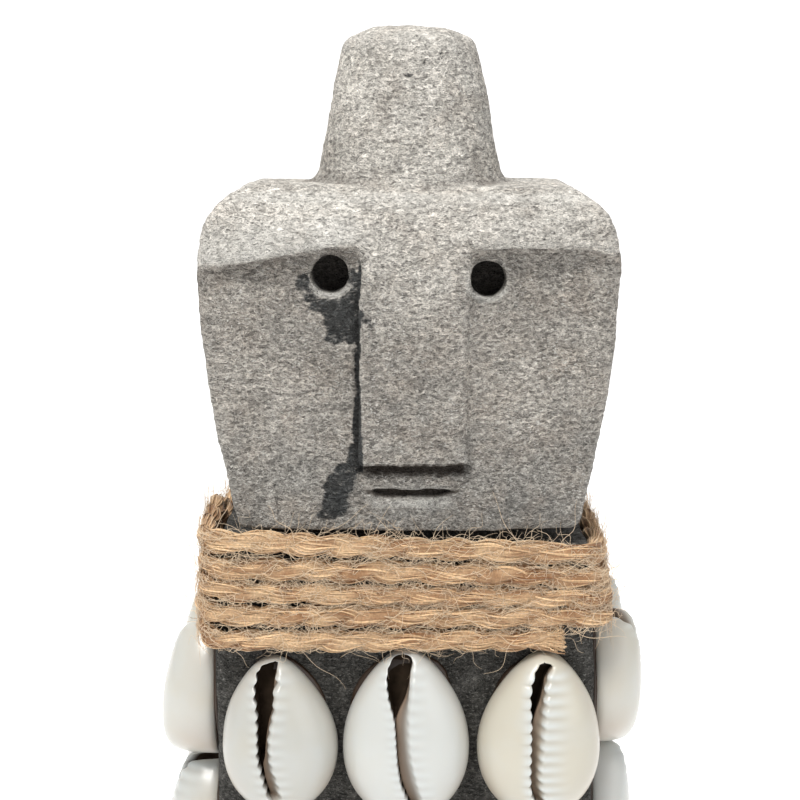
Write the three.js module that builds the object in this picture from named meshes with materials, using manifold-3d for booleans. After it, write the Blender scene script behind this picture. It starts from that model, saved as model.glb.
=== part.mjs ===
// Tiki figure: one carved stone, a collar of wound jute twine, and rows of cut cowrie shells.
// Millimetres. +Z is up, the face looks along -Y, and the origin is the middle of the underside.

import * as THREE from "three";
import { mergeVertices } from "three/addons/utils/BufferGeometryUtils.js";
import Module from "manifold-3d";

// Driving dimensions
const BODY_WIDTH = 57.5;
const BODY_DEPTH = 38;
const BODY_CORNER = 1.5;
const COLLAR_ZONE = 15.5;
const FOOT_HEIGHT = 20;
const FRONT_ROWS = 4;
const FRONT_PITCH = 26.5;
const SIDE_ROWS = 5;
const SIDE_PITCH = 22;
const GAP = 0.3;

// Twine: it lies flattened against the stone
const TWINE_HEIGHT = 3;
const TWINE_THICKNESS = 2.5;
const TWINE_PITCH = 3.3;
const TWINE_TURNS = 4.25;
const TWINE_START_EARLY = 0.55;
const TWINE_END_SHORT = 0.04;
const TWINE_SIDES = 8;
const CORNER_STEPS = 3;

// Neck and head
const NECK_HEIGHT = 2.5;
const NECK_INSET = 3.5;
const NECK_SINK = 1;
const HEAD_HEIGHT = 49.6;
const HEAD_OFFSET = 0.45;
const JAW_HALF = 24.95;
const BROW_HALF = 30.4;
const CROWN_HALF = 23.5;
const FACE_FRONT = -22.3;
const FACE_BULGE = 3.6;
const HEAD_BACK = 18.5;
const RECESS_DEPTH = 2.1;
const WIDEST_ABOVE_CHIN = 37;
const BROW_ABOVE_CHIN = 41.4;
const BROW_LEVEL_PART = 5;
const BROW_DROP_LEFT = 4;
const BROW_DROP_RIGHT = 3.2;
const JAW_SWELL = 0.4;
const JAW_SWELL_AT = 0.57;
const CROWN_ROUND = 3;
const FOREHEAD_LEAN = 10;
const FOREHEAD_SWELL = 2.5;
const NAPE_TUCK = 1.5;
const NAPE_ABOVE_CHIN = 20;
const BACK_SLOPE = 0.5;
const BACK_ROUND = 8;
const HEAD_CORNER = 2;
const SPARE = 5;

// Features of the face
const NOSE_WIDTH = 15.7;
const NOSE_OFFSET = 0.8;
const NOSE_ABOVE_CHIN = 10.2;
const MOUTH_WIDTH = 13.8;
const MOUTH_OFFSET = 0.5;
const MOUTH_HEIGHT = 1.4;
const MOUTH_ABOVE_CHIN = 5.6;
const MOUTH_DEPTH = 1.8;
const MOUTH_CORNER = 2;
const EYE_RADIUS = 2.7;
const EYE_DEPTH = 8;
const EYE_SPACING = 22.2;
const EYE_ABOVE_CHIN = 37.4;
const EYE_RIGHT_LOWER = 0.6;

// Cap
const CAP_HEIGHT = 23.4;
const CAP_OFFSET = 0.2;
const CAP_BASE_RADIUS = 13.9;
const CAP_TOP_RADIUS = 10.2;
const CAP_FLARE = 1.1;
const CAP_DOME = 3;
const CAP_EDGE = 0.7;
const CAP_OVAL = 0.9;
const CAP_SIDES = 28;

// Cowrie shells
const SHELL_LENGTH = 25.6;
const SHELL_WIDTH = 18.6;
const SHELL_HEIGHT = 8.2;
const SHELL_LEAN = 0.35;
const SHELL_EGG = 0.3;
const SHELL_FULLNESS = 0.8;
const SIDE_SHELL_FULLNESS = 0.5;
const SHELL_STATIONS = 8;

// Heights that follow from the above
const SHELL_TOP = FOOT_HEIGHT + FRONT_ROWS * FRONT_PITCH;
const SHOULDER = SHELL_TOP + COLLAR_ZONE;
const CHIN = SHOULDER + NECK_HEIGHT;
const HEAD_TOP = CHIN + HEAD_HEIGHT;

const STONE = new THREE.MeshStandardMaterial({ color: 0x9c9690, roughness: 0.95, metalness: 0 });
const JUTE = new THREE.MeshStandardMaterial({ color: 0xc49a66, roughness: 0.9, metalness: 0 });
const COWRIE = new THREE.MeshStandardMaterial({ color: 0xefece2, roughness: 0.25, metalness: 0 });

const wasm = await Module();
wasm.setup();

// Solids for cutting and joining

function solid(geometry) {
  const bare = geometry.index ? geometry.toNonIndexed() : geometry.clone();
  bare.deleteAttribute("normal");
  bare.deleteAttribute("uv");
  const merged = mergeVertices(bare, 1e-4);
  const vertProperties = new Float32Array(merged.attributes.position.array);
  const triVerts = new Uint32Array(merged.index.array);
  return new wasm.Manifold(new wasm.Mesh({ numProp: 3, vertProperties, triVerts }));
}

function geometryOf(manifold) {
  const mesh = manifold.getMesh();
  const geometry = new THREE.BufferGeometry();
  const positions = new THREE.BufferAttribute(mesh.vertProperties, mesh.numProp);
  geometry.setAttribute("position", positions);
  geometry.setIndex(new THREE.BufferAttribute(mesh.triVerts, 1));
  const flat = geometry.toNonIndexed();
  flat.computeVertexNormals();
  return flat;
}

// A prism that stands on its outline in X and Y, from one height up to another.
function upright(shape, bottom, top, curveSegments = 6) {
  const options = { depth: top - bottom, bevelEnabled: false, curveSegments };
  return new THREE.ExtrudeGeometry(shape, options).translate(0, 0, bottom);
}

// A prism of an outline in X and Z, from one depth back to another.
function frontward(shape, front, back, curveSegments = 6) {
  const options = { depth: back - front, bevelEnabled: false, curveSegments };
  return new THREE.ExtrudeGeometry(shape, options).rotateX(Math.PI / 2).translate(0, back, 0);
}

// A prism of an outline in Y and Z, across the whole width.
function sideways(shape, halfWidth, curveSegments = 6) {
  const options = { depth: 2 * halfWidth, bevelEnabled: false, curveSegments };
  const turn = new THREE.Matrix4().makeBasis(
    new THREE.Vector3(0, 1, 0),
    new THREE.Vector3(0, 0, 1),
    new THREE.Vector3(1, 0, 0),
  );
  return new THREE.ExtrudeGeometry(shape, options).applyMatrix4(turn).translate(-halfWidth, 0, 0);
}

function roundedRectangle(halfWidth, halfDepth, radius) {
  const shape = new THREE.Shape();
  shape.moveTo(-halfWidth + radius, -halfDepth);
  shape.absarc(halfWidth - radius, -halfDepth + radius, radius, -Math.PI / 2, 0);
  shape.absarc(halfWidth - radius, halfDepth - radius, radius, 0, Math.PI / 2);
  shape.absarc(-halfWidth + radius, halfDepth - radius, radius, Math.PI / 2, Math.PI);
  shape.absarc(-halfWidth + radius, -halfDepth + radius, radius, Math.PI, 1.5 * Math.PI);
  return shape;
}

// The carved stone

function bodySlab() {
  const outline = roundedRectangle(BODY_WIDTH / 2, BODY_DEPTH / 2, BODY_CORNER);
  return solid(upright(outline, 0, SHOULDER, 3));
}

function neck() {
  const halfWidth = JAW_HALF - NECK_INSET;
  const halfDepth = BODY_DEPTH / 2 - NECK_INSET;
  const outline = roundedRectangle(halfWidth, halfDepth, BODY_CORNER);
  return solid(upright(outline, SHOULDER - NECK_SINK, CHIN + NECK_SINK, 3));
}

// Outline of the head from the front: it widens from the jaw to the brow, then rounds in.
function headFront() {
  const widest = CHIN + WIDEST_ABOVE_CHIN;
  const jawCurve = { x: BROW_HALF - JAW_SWELL, z: CHIN + JAW_SWELL_AT * WIDEST_ABOVE_CHIN };
  const crownCurve = HEAD_TOP - CROWN_ROUND;
  const shape = new THREE.Shape();
  shape.moveTo(-JAW_HALF, CHIN);
  shape.lineTo(JAW_HALF, CHIN);
  shape.quadraticCurveTo(jawCurve.x, jawCurve.z, BROW_HALF, widest);
  shape.quadraticCurveTo(BROW_HALF, crownCurve, CROWN_HALF, HEAD_TOP);
  shape.lineTo(-CROWN_HALF, HEAD_TOP);
  shape.quadraticCurveTo(-BROW_HALF, crownCurve, -BROW_HALF, widest);
  shape.quadraticCurveTo(-jawCurve.x, jawCurve.z, -JAW_HALF, CHIN);
  return shape;
}

// Outline of the head from the side: an upright face, and a forehead that leans back.
function headSide() {
  const brow = CHIN + BROW_ABOVE_CHIN;
  const shape = new THREE.Shape();
  shape.moveTo(HEAD_BACK - NAPE_TUCK, CHIN);
  shape.lineTo(HEAD_BACK, CHIN + NAPE_ABOVE_CHIN);
  shape.lineTo(HEAD_BACK - BACK_SLOPE, brow - BACK_ROUND / 2);
  shape.quadraticCurveTo(HEAD_BACK - 2 * BACK_SLOPE, HEAD_TOP, HEAD_BACK - BACK_ROUND, HEAD_TOP);
  shape.lineTo(FACE_FRONT + FOREHEAD_LEAN, HEAD_TOP);
  shape.quadraticCurveTo(FACE_FRONT + FOREHEAD_SWELL, HEAD_TOP - FOREHEAD_SWELL, FACE_FRONT, brow);
  shape.lineTo(FACE_FRONT, CHIN);
  return shape;
}

// Outline of the head from above: a face that bulges a little, and a squarer back.
function headPlan(frontDepth, halfWidth) {
  const corner = HEAD_CORNER;
  const bulgeRadius = (halfWidth ** 2 + FACE_BULGE ** 2) / (2 * FACE_BULGE);
  const halfAngle = Math.asin((halfWidth - corner) / bulgeRadius);
  const centre = frontDepth + bulgeRadius;
  const shape = new THREE.Shape();
  shape.absarc(0, centre, bulgeRadius, -Math.PI / 2 - halfAngle, -Math.PI / 2 + halfAngle);
  shape.lineTo(halfWidth, frontDepth + FACE_BULGE + corner);
  shape.lineTo(halfWidth, HEAD_BACK - 2 * corner);
  shape.lineTo(halfWidth - 2 * corner, HEAD_BACK);
  shape.lineTo(-halfWidth + 2 * corner, HEAD_BACK);
  shape.lineTo(-halfWidth, HEAD_BACK - 2 * corner);
  shape.lineTo(-halfWidth, frontDepth + FACE_BULGE + corner);
  return shape;
}

function headBlock() {
  const front = solid(frontward(headFront(), FACE_FRONT - SPARE, HEAD_BACK + SPARE, 6));
  const side = solid(sideways(headSide(), BROW_HALF + SPARE, 5));
  const outline = headPlan(FACE_FRONT, BROW_HALF);
  const plan = solid(upright(outline, CHIN - SPARE, HEAD_TOP + SPARE, 10));
  return front.intersect(side).intersect(plan);
}

// What is cut away in front of the cheeks and the mouth: all below the brow but the nose.
function faceRecess() {
  const browEdge = CHIN + BROW_ABOVE_CHIN;
  const outside = BROW_HALF + SPARE;
  const below = CHIN - SPARE;
  const noseLeft = NOSE_OFFSET - NOSE_WIDTH / 2;
  const noseRight = NOSE_OFFSET + NOSE_WIDTH / 2;
  const noseBottom = CHIN + NOSE_ABOVE_CHIN;
  const shape = new THREE.Shape();
  shape.moveTo(-outside, below);
  shape.lineTo(outside, below);
  shape.lineTo(outside, browEdge - BROW_DROP_RIGHT);
  shape.lineTo(BROW_HALF - BROW_LEVEL_PART, browEdge);
  shape.lineTo(noseRight, browEdge);
  shape.lineTo(noseRight, noseBottom);
  shape.lineTo(noseLeft, noseBottom);
  shape.lineTo(noseLeft, browEdge);
  shape.lineTo(-EYE_SPACING / 2, browEdge);
  shape.lineTo(-outside, browEdge - BROW_DROP_LEFT);
  const region = solid(frontward(shape, FACE_FRONT - SPARE, 0, 1));
  const outline = headPlan(FACE_FRONT + RECESS_DEPTH, outside + SPARE);
  const kept = solid(upright(outline, below - SPARE, HEAD_TOP, 10));
  return region.subtract(kept);
}

function eyes() {
  const drill = new THREE.CylinderGeometry(EYE_RADIUS, EYE_RADIUS, 2 * EYE_DEPTH, 16);
  const height = CHIN + EYE_ABOVE_CHIN;
  const left = solid(drill.clone().translate(-EYE_SPACING / 2, FACE_FRONT, height));
  const right = solid(drill.clone().translate(EYE_SPACING / 2, FACE_FRONT, height - EYE_RIGHT_LOWER));
  return left.add(right);
}

// The mouth slot is boat-shaped: straight along its top, curved along its bottom.
function mouth() {
  const half = MOUTH_WIDTH / 2;
  const top = CHIN + MOUTH_ABOVE_CHIN + MOUTH_HEIGHT / 2;
  const shape = new THREE.Shape();
  shape.moveTo(-half, top);
  shape.quadraticCurveTo(-half + MOUTH_CORNER, top - MOUTH_HEIGHT, 0, top - MOUTH_HEIGHT);
  shape.quadraticCurveTo(half - MOUTH_CORNER, top - MOUTH_HEIGHT, half, top);
  const face = FACE_FRONT + RECESS_DEPTH;
  return solid(frontward(shape, face - SPARE, face + MOUTH_DEPTH, 4).translate(MOUTH_OFFSET, 0, 0));
}

function cap() {
  const base = HEAD_TOP - CAP_FLARE;
  const top = HEAD_TOP + CAP_HEIGHT;
  const corner = top - CAP_DOME;
  const profile = [
    new THREE.Vector2(0, base),
    new THREE.Vector2(CAP_BASE_RADIUS + CAP_FLARE, base),
    new THREE.Vector2(CAP_BASE_RADIUS + CAP_FLARE, HEAD_TOP),
    new THREE.Vector2(CAP_BASE_RADIUS, HEAD_TOP + 1.4 * CAP_FLARE),
    new THREE.Vector2(CAP_TOP_RADIUS, corner - CAP_EDGE),
    new THREE.Vector2(CAP_TOP_RADIUS - CAP_EDGE, corner + CAP_DOME / 4),
    new THREE.Vector2(0.6 * CAP_TOP_RADIUS, top - CAP_DOME / 4),
    new THREE.Vector2(0, top),
  ];
  return new THREE.LatheGeometry(profile, CAP_SIDES)
    .rotateX(Math.PI / 2)
    .scale(1, CAP_OVAL, 1)
    .translate(CAP_OFFSET, 0, 0);
}

function carvedStone() {
  const head = headBlock().subtract(faceRecess()).subtract(mouth()).subtract(eyes());
  const crown = head.add(solid(cap())).translate([HEAD_OFFSET, 0, 0]);
  return geometryOf(bodySlab().add(neck()).add(crown));
}

// The collar: the twine's centre line goes round the slab and down one pitch a turn.
class WoundTwine extends THREE.Curve {
  constructor() {
    super();
    this.halfWidth = BODY_WIDTH / 2 + GAP + TWINE_THICKNESS / 2;
    this.halfDepth = BODY_DEPTH / 2 + GAP + TWINE_THICKNESS / 2;
    this.radius = BODY_CORNER + GAP + TWINE_THICKNESS / 2;
    this.start = SHELL_TOP + GAP + TWINE_HEIGHT / 2 + TWINE_PITCH * TWINE_TURNS;
  }

  // Steps along each quarter of a turn: a few round the corner, then one along the straight.
  stepsPerTurn() {
    return 4 * (CORNER_STEPS + 1);
  }

  // Place and outward direction, in plan, after a number of steps.
  plan(step) {
    const perQuarter = CORNER_STEPS + 1;
    const quarter = Math.floor(step / perQuarter + 1e-9);
    const within = Math.min(step - quarter * perQuarter, CORNER_STEPS);
    const along = Math.max(step - quarter * perQuarter - CORNER_STEPS, 0);
    // The first corner is the one at the left of the front.
    const angle = Math.PI + (Math.PI / 2) * (quarter + within / CORNER_STEPS);
    const outward = new THREE.Vector2(Math.cos(angle), Math.sin(angle));
    const signs = this.cornerSigns(quarter);
    const next = this.cornerSigns(quarter + 1);
    const place = this.cornerCentre(signs).lerp(this.cornerCentre(next), along);
    return { place: place.addScaledVector(outward, this.radius), outward };
  }

  cornerSigns(quarter) {
    const order = [[-1, -1], [1, -1], [1, 1], [-1, 1]];
    return order[((quarter % 4) + 4) % 4];
  }

  cornerCentre([signX, signY]) {
    const x = signX * (this.halfWidth - this.radius);
    const y = signY * (this.halfDepth - this.radius);
    return new THREE.Vector2(x, y);
  }

  totalSteps() {
    return Math.round(TWINE_TURNS * this.stepsPerTurn());
  }

  // The twine starts part of the way along the left side, and stops short of its last corner.
  stepAt(t) {
    const step = t * this.totalSteps();
    return t <= 0 ? -TWINE_START_EARLY : Math.min(step, this.totalSteps() - TWINE_END_SHORT);
  }

  getPoint(t, target = new THREE.Vector3()) {
    const { place } = this.plan(this.stepAt(t));
    const height = this.start - (TWINE_PITCH * this.stepAt(t)) / this.stepsPerTurn();
    return target.set(place.x, place.y, height);
  }

  getUtoTmapping(u) {
    return u;
  }

  // The section stays upright: its normal points outwards and its binormal down.
  computeFrenetFrames(segments) {
    const frames = { tangents: [], normals: [], binormals: [] };
    for (let i = 0; i <= segments; i += 1) {
      const { outward } = this.plan((i / segments) * this.totalSteps());
      frames.normals.push(new THREE.Vector3(outward.x, outward.y, 0));
      frames.binormals.push(new THREE.Vector3(0, 0, -1));
      frames.tangents.push(new THREE.Vector3(-outward.y, outward.x, 0));
    }
    return frames;
  }
}

function juteRope() {
  const path = new WoundTwine();
  const section = new THREE.Shape();
  section.absellipse(0, 0, TWINE_THICKNESS / 2, TWINE_HEIGHT / 2, 0, 2 * Math.PI);
  const options = { steps: path.totalSteps(), extrudePath: path, curveSegments: TWINE_SIDES };
  return new THREE.ExtrudeGeometry(section, options);
}

// Cowries: an egg-shaped dome, narrower at its upper end, with a slit down the middle of its
// crown and a flat cut back. X is across, Z is along and -Y is away from the back.

// Across a shell from its left edge to its right: offset, and height of the crown there.
const SHELL_SECTION = [
  [-1, 0],
  [-0.78, 0.68],
  [-0.14, 0.98],
  [0.02, 0.6],
  [0.2, 1],
  [0.8, 0.7],
  [1, 0],
];

function cowrieGeometry(scale, slitLean, fullness) {
  const around = SHELL_SECTION.length;
  const geometry = new THREE.SphereGeometry(1, around, SHELL_STATIONS);
  const halfWidth = (SHELL_WIDTH * scale) / 2;
  const { position, uv } = geometry.attributes;
  for (let i = 0; i < position.count; i += 1) {
    // The stations are closer together towards both ends, so that the ends come out round.
    const latitude = Math.PI * THREE.MathUtils.clamp(uv.getY(i), 0, 1);
    const along = -Math.cos(latitude) / 2;
    const atPole = Math.sin(latitude) < 1e-6;
    const [offset, crown] = SHELL_SECTION[atPole ? 0 : Math.round(uv.getX(i) * around) % around];
    const width = atPole ? 0 : Math.sin(latitude) * (1 - SHELL_EGG * along);
    const thickness = width ** fullness * (1 - SHELL_LEAN * (along + 0.15));
    const lean = Math.abs(offset) < 0.5 ? slitLean * along : 0;
    position.setXYZ(
      i,
      halfWidth * (width * offset + lean),
      -SHELL_HEIGHT * crown * thickness,
      SHELL_LENGTH * scale * along,
    );
  }
  geometry.computeVertexNormals();
  return geometry;
}

const figure = new THREE.Group();

function addMesh(name, geometry, material, parent = figure) {
  const mesh = new THREE.Mesh(geometry, material);
  mesh.name = name;
  parent.add(mesh);
  return mesh;
}

addMesh("carved_stone", carvedStone(), STONE);
addMesh("jute_rope", juteRope(), JUTE);

// The front and the back have three columns of shells, the widest in the middle, and the
// sides have two columns of smaller shells.
const BROAD_KINDS = [
  cowrieGeometry(0.93, 0.04, SHELL_FULLNESS),
  cowrieGeometry(1.02, 0.1, SHELL_FULLNESS),
  cowrieGeometry(0.99, 0.16, SHELL_FULLNESS),
];
const SIDE_KINDS = [
  cowrieGeometry(0.84, 0.04, SIDE_SHELL_FULLNESS),
  cowrieGeometry(0.85, 0.16, SIDE_SHELL_FULLNESS),
];

// Where the columns stand, from the middle of their wall.
const BROAD_PLACES = [-18.7, 0.1, 19.9];
const SIDE_PLACES = [-9.2, 9.2];

const BROAD = {
  distance: BODY_DEPTH / 2,
  places: BROAD_PLACES,
  kinds: BROAD_KINDS,
  rows: FRONT_ROWS,
  pitch: FRONT_PITCH,
};
const NARROW = {
  distance: BODY_WIDTH / 2,
  places: SIDE_PLACES,
  kinds: SIDE_KINDS,
  rows: SIDE_ROWS,
  pitch: SIDE_PITCH,
};

// Each wall of shells is built as the front one and turned round to its side. The twine goes
// down as it goes round, so the shells start a little higher on the other three walls. The
// shells of the left wall stand out the most.
const WALLS = [
  { name: "front", turn: 0, lift: 0, reach: 1, ...BROAD },
  { name: "right", turn: 90, lift: 2.6, reach: 0.95, ...NARROW },
  { name: "back", turn: 180, lift: 1.6, reach: 1, ...BROAD },
  { name: "left", turn: 270, lift: 0.8, reach: 1.1, ...NARROW },
];

for (const wall of WALLS) {
  const side = new THREE.Group();
  side.rotation.z = THREE.MathUtils.degToRad(wall.turn);
  figure.add(side);
  for (let row = 1; row <= wall.rows; row += 1) {
    for (let column = 1; column <= wall.places.length; column += 1) {
      const name = `cowrie_${wall.name}_${row}_${column}`;
      const shell = addMesh(name, wall.kinds[column - 1], COWRIE, side);
      const height = SHELL_TOP + wall.lift - wall.pitch * (row - 0.5);
      shell.position.set(wall.places[column - 1], -wall.distance - GAP, height);
      shell.scale.y = wall.reach;
    }
  }
}

export default figure;
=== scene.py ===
"""Tiki figure: the looks of a carved stone with a jute collar and cowrie shells.

Metres, +Z up, the face looks along -Y. Local work on shapes is in millimetres, times MM.
"""
import math

import bmesh
import bpy
import numpy as np
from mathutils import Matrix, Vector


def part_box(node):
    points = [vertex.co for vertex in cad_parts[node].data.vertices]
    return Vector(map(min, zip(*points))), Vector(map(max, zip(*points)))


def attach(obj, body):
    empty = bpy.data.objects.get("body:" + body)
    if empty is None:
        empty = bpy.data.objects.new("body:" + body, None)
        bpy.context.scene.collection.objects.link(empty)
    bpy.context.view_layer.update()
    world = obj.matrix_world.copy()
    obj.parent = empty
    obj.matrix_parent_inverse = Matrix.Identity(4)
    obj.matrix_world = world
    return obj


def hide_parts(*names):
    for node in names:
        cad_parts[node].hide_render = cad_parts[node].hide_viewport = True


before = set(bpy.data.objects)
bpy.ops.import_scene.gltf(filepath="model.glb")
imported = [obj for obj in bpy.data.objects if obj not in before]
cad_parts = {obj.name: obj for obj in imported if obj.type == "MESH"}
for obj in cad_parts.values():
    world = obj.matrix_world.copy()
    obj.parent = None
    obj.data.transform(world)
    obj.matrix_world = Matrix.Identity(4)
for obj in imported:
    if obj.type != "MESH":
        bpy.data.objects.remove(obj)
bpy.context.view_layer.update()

MM = 0.001

# ---------------------------------------------------------------- frame values

STONE_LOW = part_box("carved_stone")[0]
ROPE_LOW, ROPE_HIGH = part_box("jute_rope")

GAP = 0.3 * MM
SHELL_TOP = ROPE_LOW[2] - GAP
SHOULDER = SHELL_TOP + 15.5 * MM
CHIN = SHOULDER + 2.5 * MM
HEAD_TOP = CHIN + 49.6 * MM
HEAD_X = 0.45 * MM

# ---------------------------------------------------------------- camera and stage

CAMERA_PLACE = (-0.8 * MM, -217.2 * MM, 202.9 * MM)
CAMERA_TILT_DOWN = math.radians(11.3)
CAMERA_LENS = 63.2
SENSOR = 36.0


def make_camera():
    data = bpy.data.cameras.new("camera")
    data.lens = CAMERA_LENS
    data.sensor_width = SENSOR
    data.clip_start = 0.01
    data.clip_end = 20.0
    camera = bpy.data.objects.new("camera", data)
    camera.location = CAMERA_PLACE
    camera.rotation_euler = (math.radians(90) - CAMERA_TILT_DOWN, 0, 0)
    bpy.context.collection.objects.link(camera)
    bpy.context.scene.camera = camera


make_camera()

# ---------------------------------------------------------------- small tools


def link_object(name, mesh):
    obj = bpy.data.objects.new(name, mesh)
    bpy.context.collection.objects.link(obj)
    return obj


def mesh_from_grid(name, points):
    """A mesh of quads over points[row, column]."""
    rows, columns = points.shape[:2]
    index = np.arange(rows * columns).reshape(rows, columns)
    quads = np.stack(
        [index[:-1, :-1], index[:-1, 1:], index[1:, 1:], index[1:, :-1]], axis=-1
    ).reshape(-1, 4)
    return mesh_from_faces(name, points.reshape(-1, 3), quads)


def mesh_from_faces(name, points, quads, extra=()):
    """A mesh of quads, with extra faces as lists of corner numbers."""
    loops = [np.asarray(quads, np.int32).ravel()]
    starts = [np.arange(len(quads), dtype=np.int32) * 4]
    total = 4 * len(quads)
    for face in extra:
        loops.append(np.asarray(face, np.int32))
        starts.append(np.array([total], np.int32))
        total += len(face)
    mesh = bpy.data.meshes.new(name)
    mesh.vertices.add(len(points))
    mesh.vertices.foreach_set("co", np.asarray(points, np.float32).ravel())
    mesh.loops.add(total)
    mesh.loops.foreach_set("vertex_index", np.concatenate(loops))
    starts = np.concatenate(starts)
    mesh.polygons.add(len(starts))
    mesh.polygons.foreach_set("loop_start", starts)
    mesh.update(calc_edges=True)
    mesh.validate()
    return mesh


def shade_smooth(mesh):
    mesh.polygons.foreach_set("use_smooth", np.ones(len(mesh.polygons), bool))
    mesh.update()


def add_attribute(mesh, name, values):
    attribute = mesh.attributes.new(name, "FLOAT", "POINT")
    attribute.data.foreach_set("value", np.asarray(values, np.float32))


def points_of(mesh):
    flat = np.empty(len(mesh.vertices) * 3, np.float32)
    mesh.vertices.foreach_get("co", flat)
    return flat.reshape(-1, 3).astype(float)


def normals_of(mesh):
    flat = np.empty(len(mesh.vertices) * 3, np.float32)
    mesh.vertex_normals.foreach_get("vector", flat)
    return flat.reshape(-1, 3).astype(float)


def set_points(mesh, points):
    mesh.vertices.foreach_set("co", points.astype(np.float32).ravel())
    mesh.update()


def smoothstep(low, high, value):
    t = np.clip((value - low) / (high - low), 0, 1)
    return t * t * (3 - 2 * t)


def bell(away, wide):
    """1 at no distance, and falling to 0 over about twice the width."""
    return np.exp(-((away / wide) ** 2))


class Noise:
    """Smooth gradient noise in three dimensions, about -1 to 1, the same on each run."""

    def __init__(self, seed):
        draw = np.random.RandomState(seed)
        self.order = draw.permutation(256)
        self.order = np.concatenate([self.order, self.order, self.order])
        way = draw.normal(size=(256, 3))
        self.way = way / np.linalg.norm(way, axis=1, keepdims=True)

    def __call__(self, points, size):
        p = np.asarray(points, float) / size
        cell = np.floor(p).astype(int)
        f = p - cell
        fade = f * f * f * (f * (f * 6 - 15) + 10)
        total = np.zeros(p.shape[:-1])
        for corner in range(8):
            step = np.array([corner & 1, corner >> 1 & 1, corner >> 2 & 1])
            c = (cell + step) & 255
            at = self.order[self.order[self.order[c[..., 0]] + c[..., 1]] + c[..., 2]]
            slope = (self.way[at] * (f - step)).sum(-1)
            weight = np.where(step == 1, fade, 1 - fade).prod(-1)
            total += weight * slope
        return 1.6 * total


# ---------------------------------------------------------------- node helpers


def new_material(name):
    material = bpy.data.materials.new(name)
    material.use_nodes = True
    return material, Tree(material.node_tree)


class Tree:
    """Short ways to add the few kinds of nodes that the materials use."""

    def __init__(self, tree):
        self.tree = tree
        self.shader = tree.nodes["Principled BSDF"]

    def add(self, kind, **settings):
        node = self.tree.nodes.new(kind)
        for key, value in settings.items():
            setattr(node, key, value)
        return node

    def link(self, out, into):
        self.tree.links.new(out, into)

    def put(self, socket, value):
        if isinstance(value, bpy.types.NodeSocket):
            self.link(value, socket)
        elif socket.type == "RGBA":
            socket.default_value = (*value, 1.0)
        else:
            socket.default_value = value

    def shade(self, inputs):
        """Sets the shader's inputs by name, to values or to what other nodes give."""
        for name, value in inputs.items():
            self.put(self.shader.inputs[name], value)

    def attribute(self, name):
        return self.add("ShaderNodeAttribute", attribute_name=name).outputs["Fac"]

    def place(self):
        return self.add("ShaderNodeTexCoord").outputs["Object"]

    def scaled(self, place, by):
        node = self.add("ShaderNodeVectorMath", operation="MULTIPLY")
        self.link(place, node.inputs[0])
        node.inputs[1].default_value = by
        return node.outputs[0]

    def height(self, place):
        node = self.add("ShaderNodeSeparateXYZ")
        self.link(place, node.inputs[0])
        return node.outputs["Z"]

    def noise(self, place, size, detail=2.0, rough=0.5, distortion=0.0):
        """Noise whose features are about size metres across."""
        node = self.add("ShaderNodeTexNoise")
        self.link(place, node.inputs["Vector"])
        node.inputs["Scale"].default_value = 1.0 / size
        node.inputs["Detail"].default_value = detail
        node.inputs["Roughness"].default_value = rough
        node.inputs["Distortion"].default_value = distortion
        return node.outputs["Fac"]

    def span(self, value, low, high, to_low=0.0, to_high=1.0):
        node = self.add("ShaderNodeMapRange", clamp=True)
        self.put(node.inputs["Value"], value)
        self.put(node.inputs["From Min"], low)
        self.put(node.inputs["From Max"], high)
        self.put(node.inputs["To Min"], to_low)
        self.put(node.inputs["To Max"], to_high)
        return node.outputs["Result"]

    def math(self, operation, a, b=0.0):
        node = self.add("ShaderNodeMath", operation=operation)
        self.put(node.inputs[0], a)
        self.put(node.inputs[1], b)
        return node.outputs[0]

    def mix(self, factor, a, b, blend="MIX"):
        node = self.add("ShaderNodeMix", data_type="RGBA", blend_type=blend)
        self.put(node.inputs["Factor"], factor)
        self.put(node.inputs[6], a)
        self.put(node.inputs[7], b)
        return node.outputs[2]

    def bump(self, height, distance, strength=1.0, after=None):
        node = self.add("ShaderNodeBump")
        self.put(node.inputs["Height"], height)
        node.inputs["Distance"].default_value = distance
        node.inputs["Strength"].default_value = strength
        if after is not None:
            self.link(after, node.inputs["Normal"])
        return node.outputs["Normal"]


# ---------------------------------------------------------------- materials

STONE_TOP = (0.665, 0.63, 0.575)
STONE_FACE = (0.42, 0.39, 0.35)
STONE_CHIN = (0.265, 0.257, 0.238)
STONE_BODY = (0.055, 0.053, 0.048)
STONE_BODY_PALE = (0.13, 0.125, 0.115)
STAIN = (0.16, 0.175, 0.19)
# Painted shade for the stone's hollows, and painted shadow with some dirt below the brow and nose.
SHADE_AND_DIRT = (0.04, 0.029, 0.021)
STONE_WARM = (0.34, 0.27, 0.21)
# Pale specks, worn edges and chips, and painted highlights on the left brow, the cap's rim and the lower
# lip.
SPECK_AND_HIGHLIGHT = (0.80, 0.78, 0.73)
# Painted shade inside the drilled eyes.
EYE_HOLE_SHADE = (0.006, 0.004, 0.003)
SHELL_GREY = (0.57, 0.58, 0.555)
SHELL_CREAM = (0.56, 0.53, 0.445)
# The shell's paler, bluer teeth with a painted highlight, and painted shadow in the grooves between
# them.
SHELL_RIB_WITH_HIGHLIGHT = (0.60, 0.63, 0.625)
SHELL_GROOVE_SHADOW = (0.36, 0.36, 0.345)
SHELL_FLUSH = (0.47, 0.37, 0.29)
SHELL_FOLD = (0.24, 0.17, 0.12)
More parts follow.
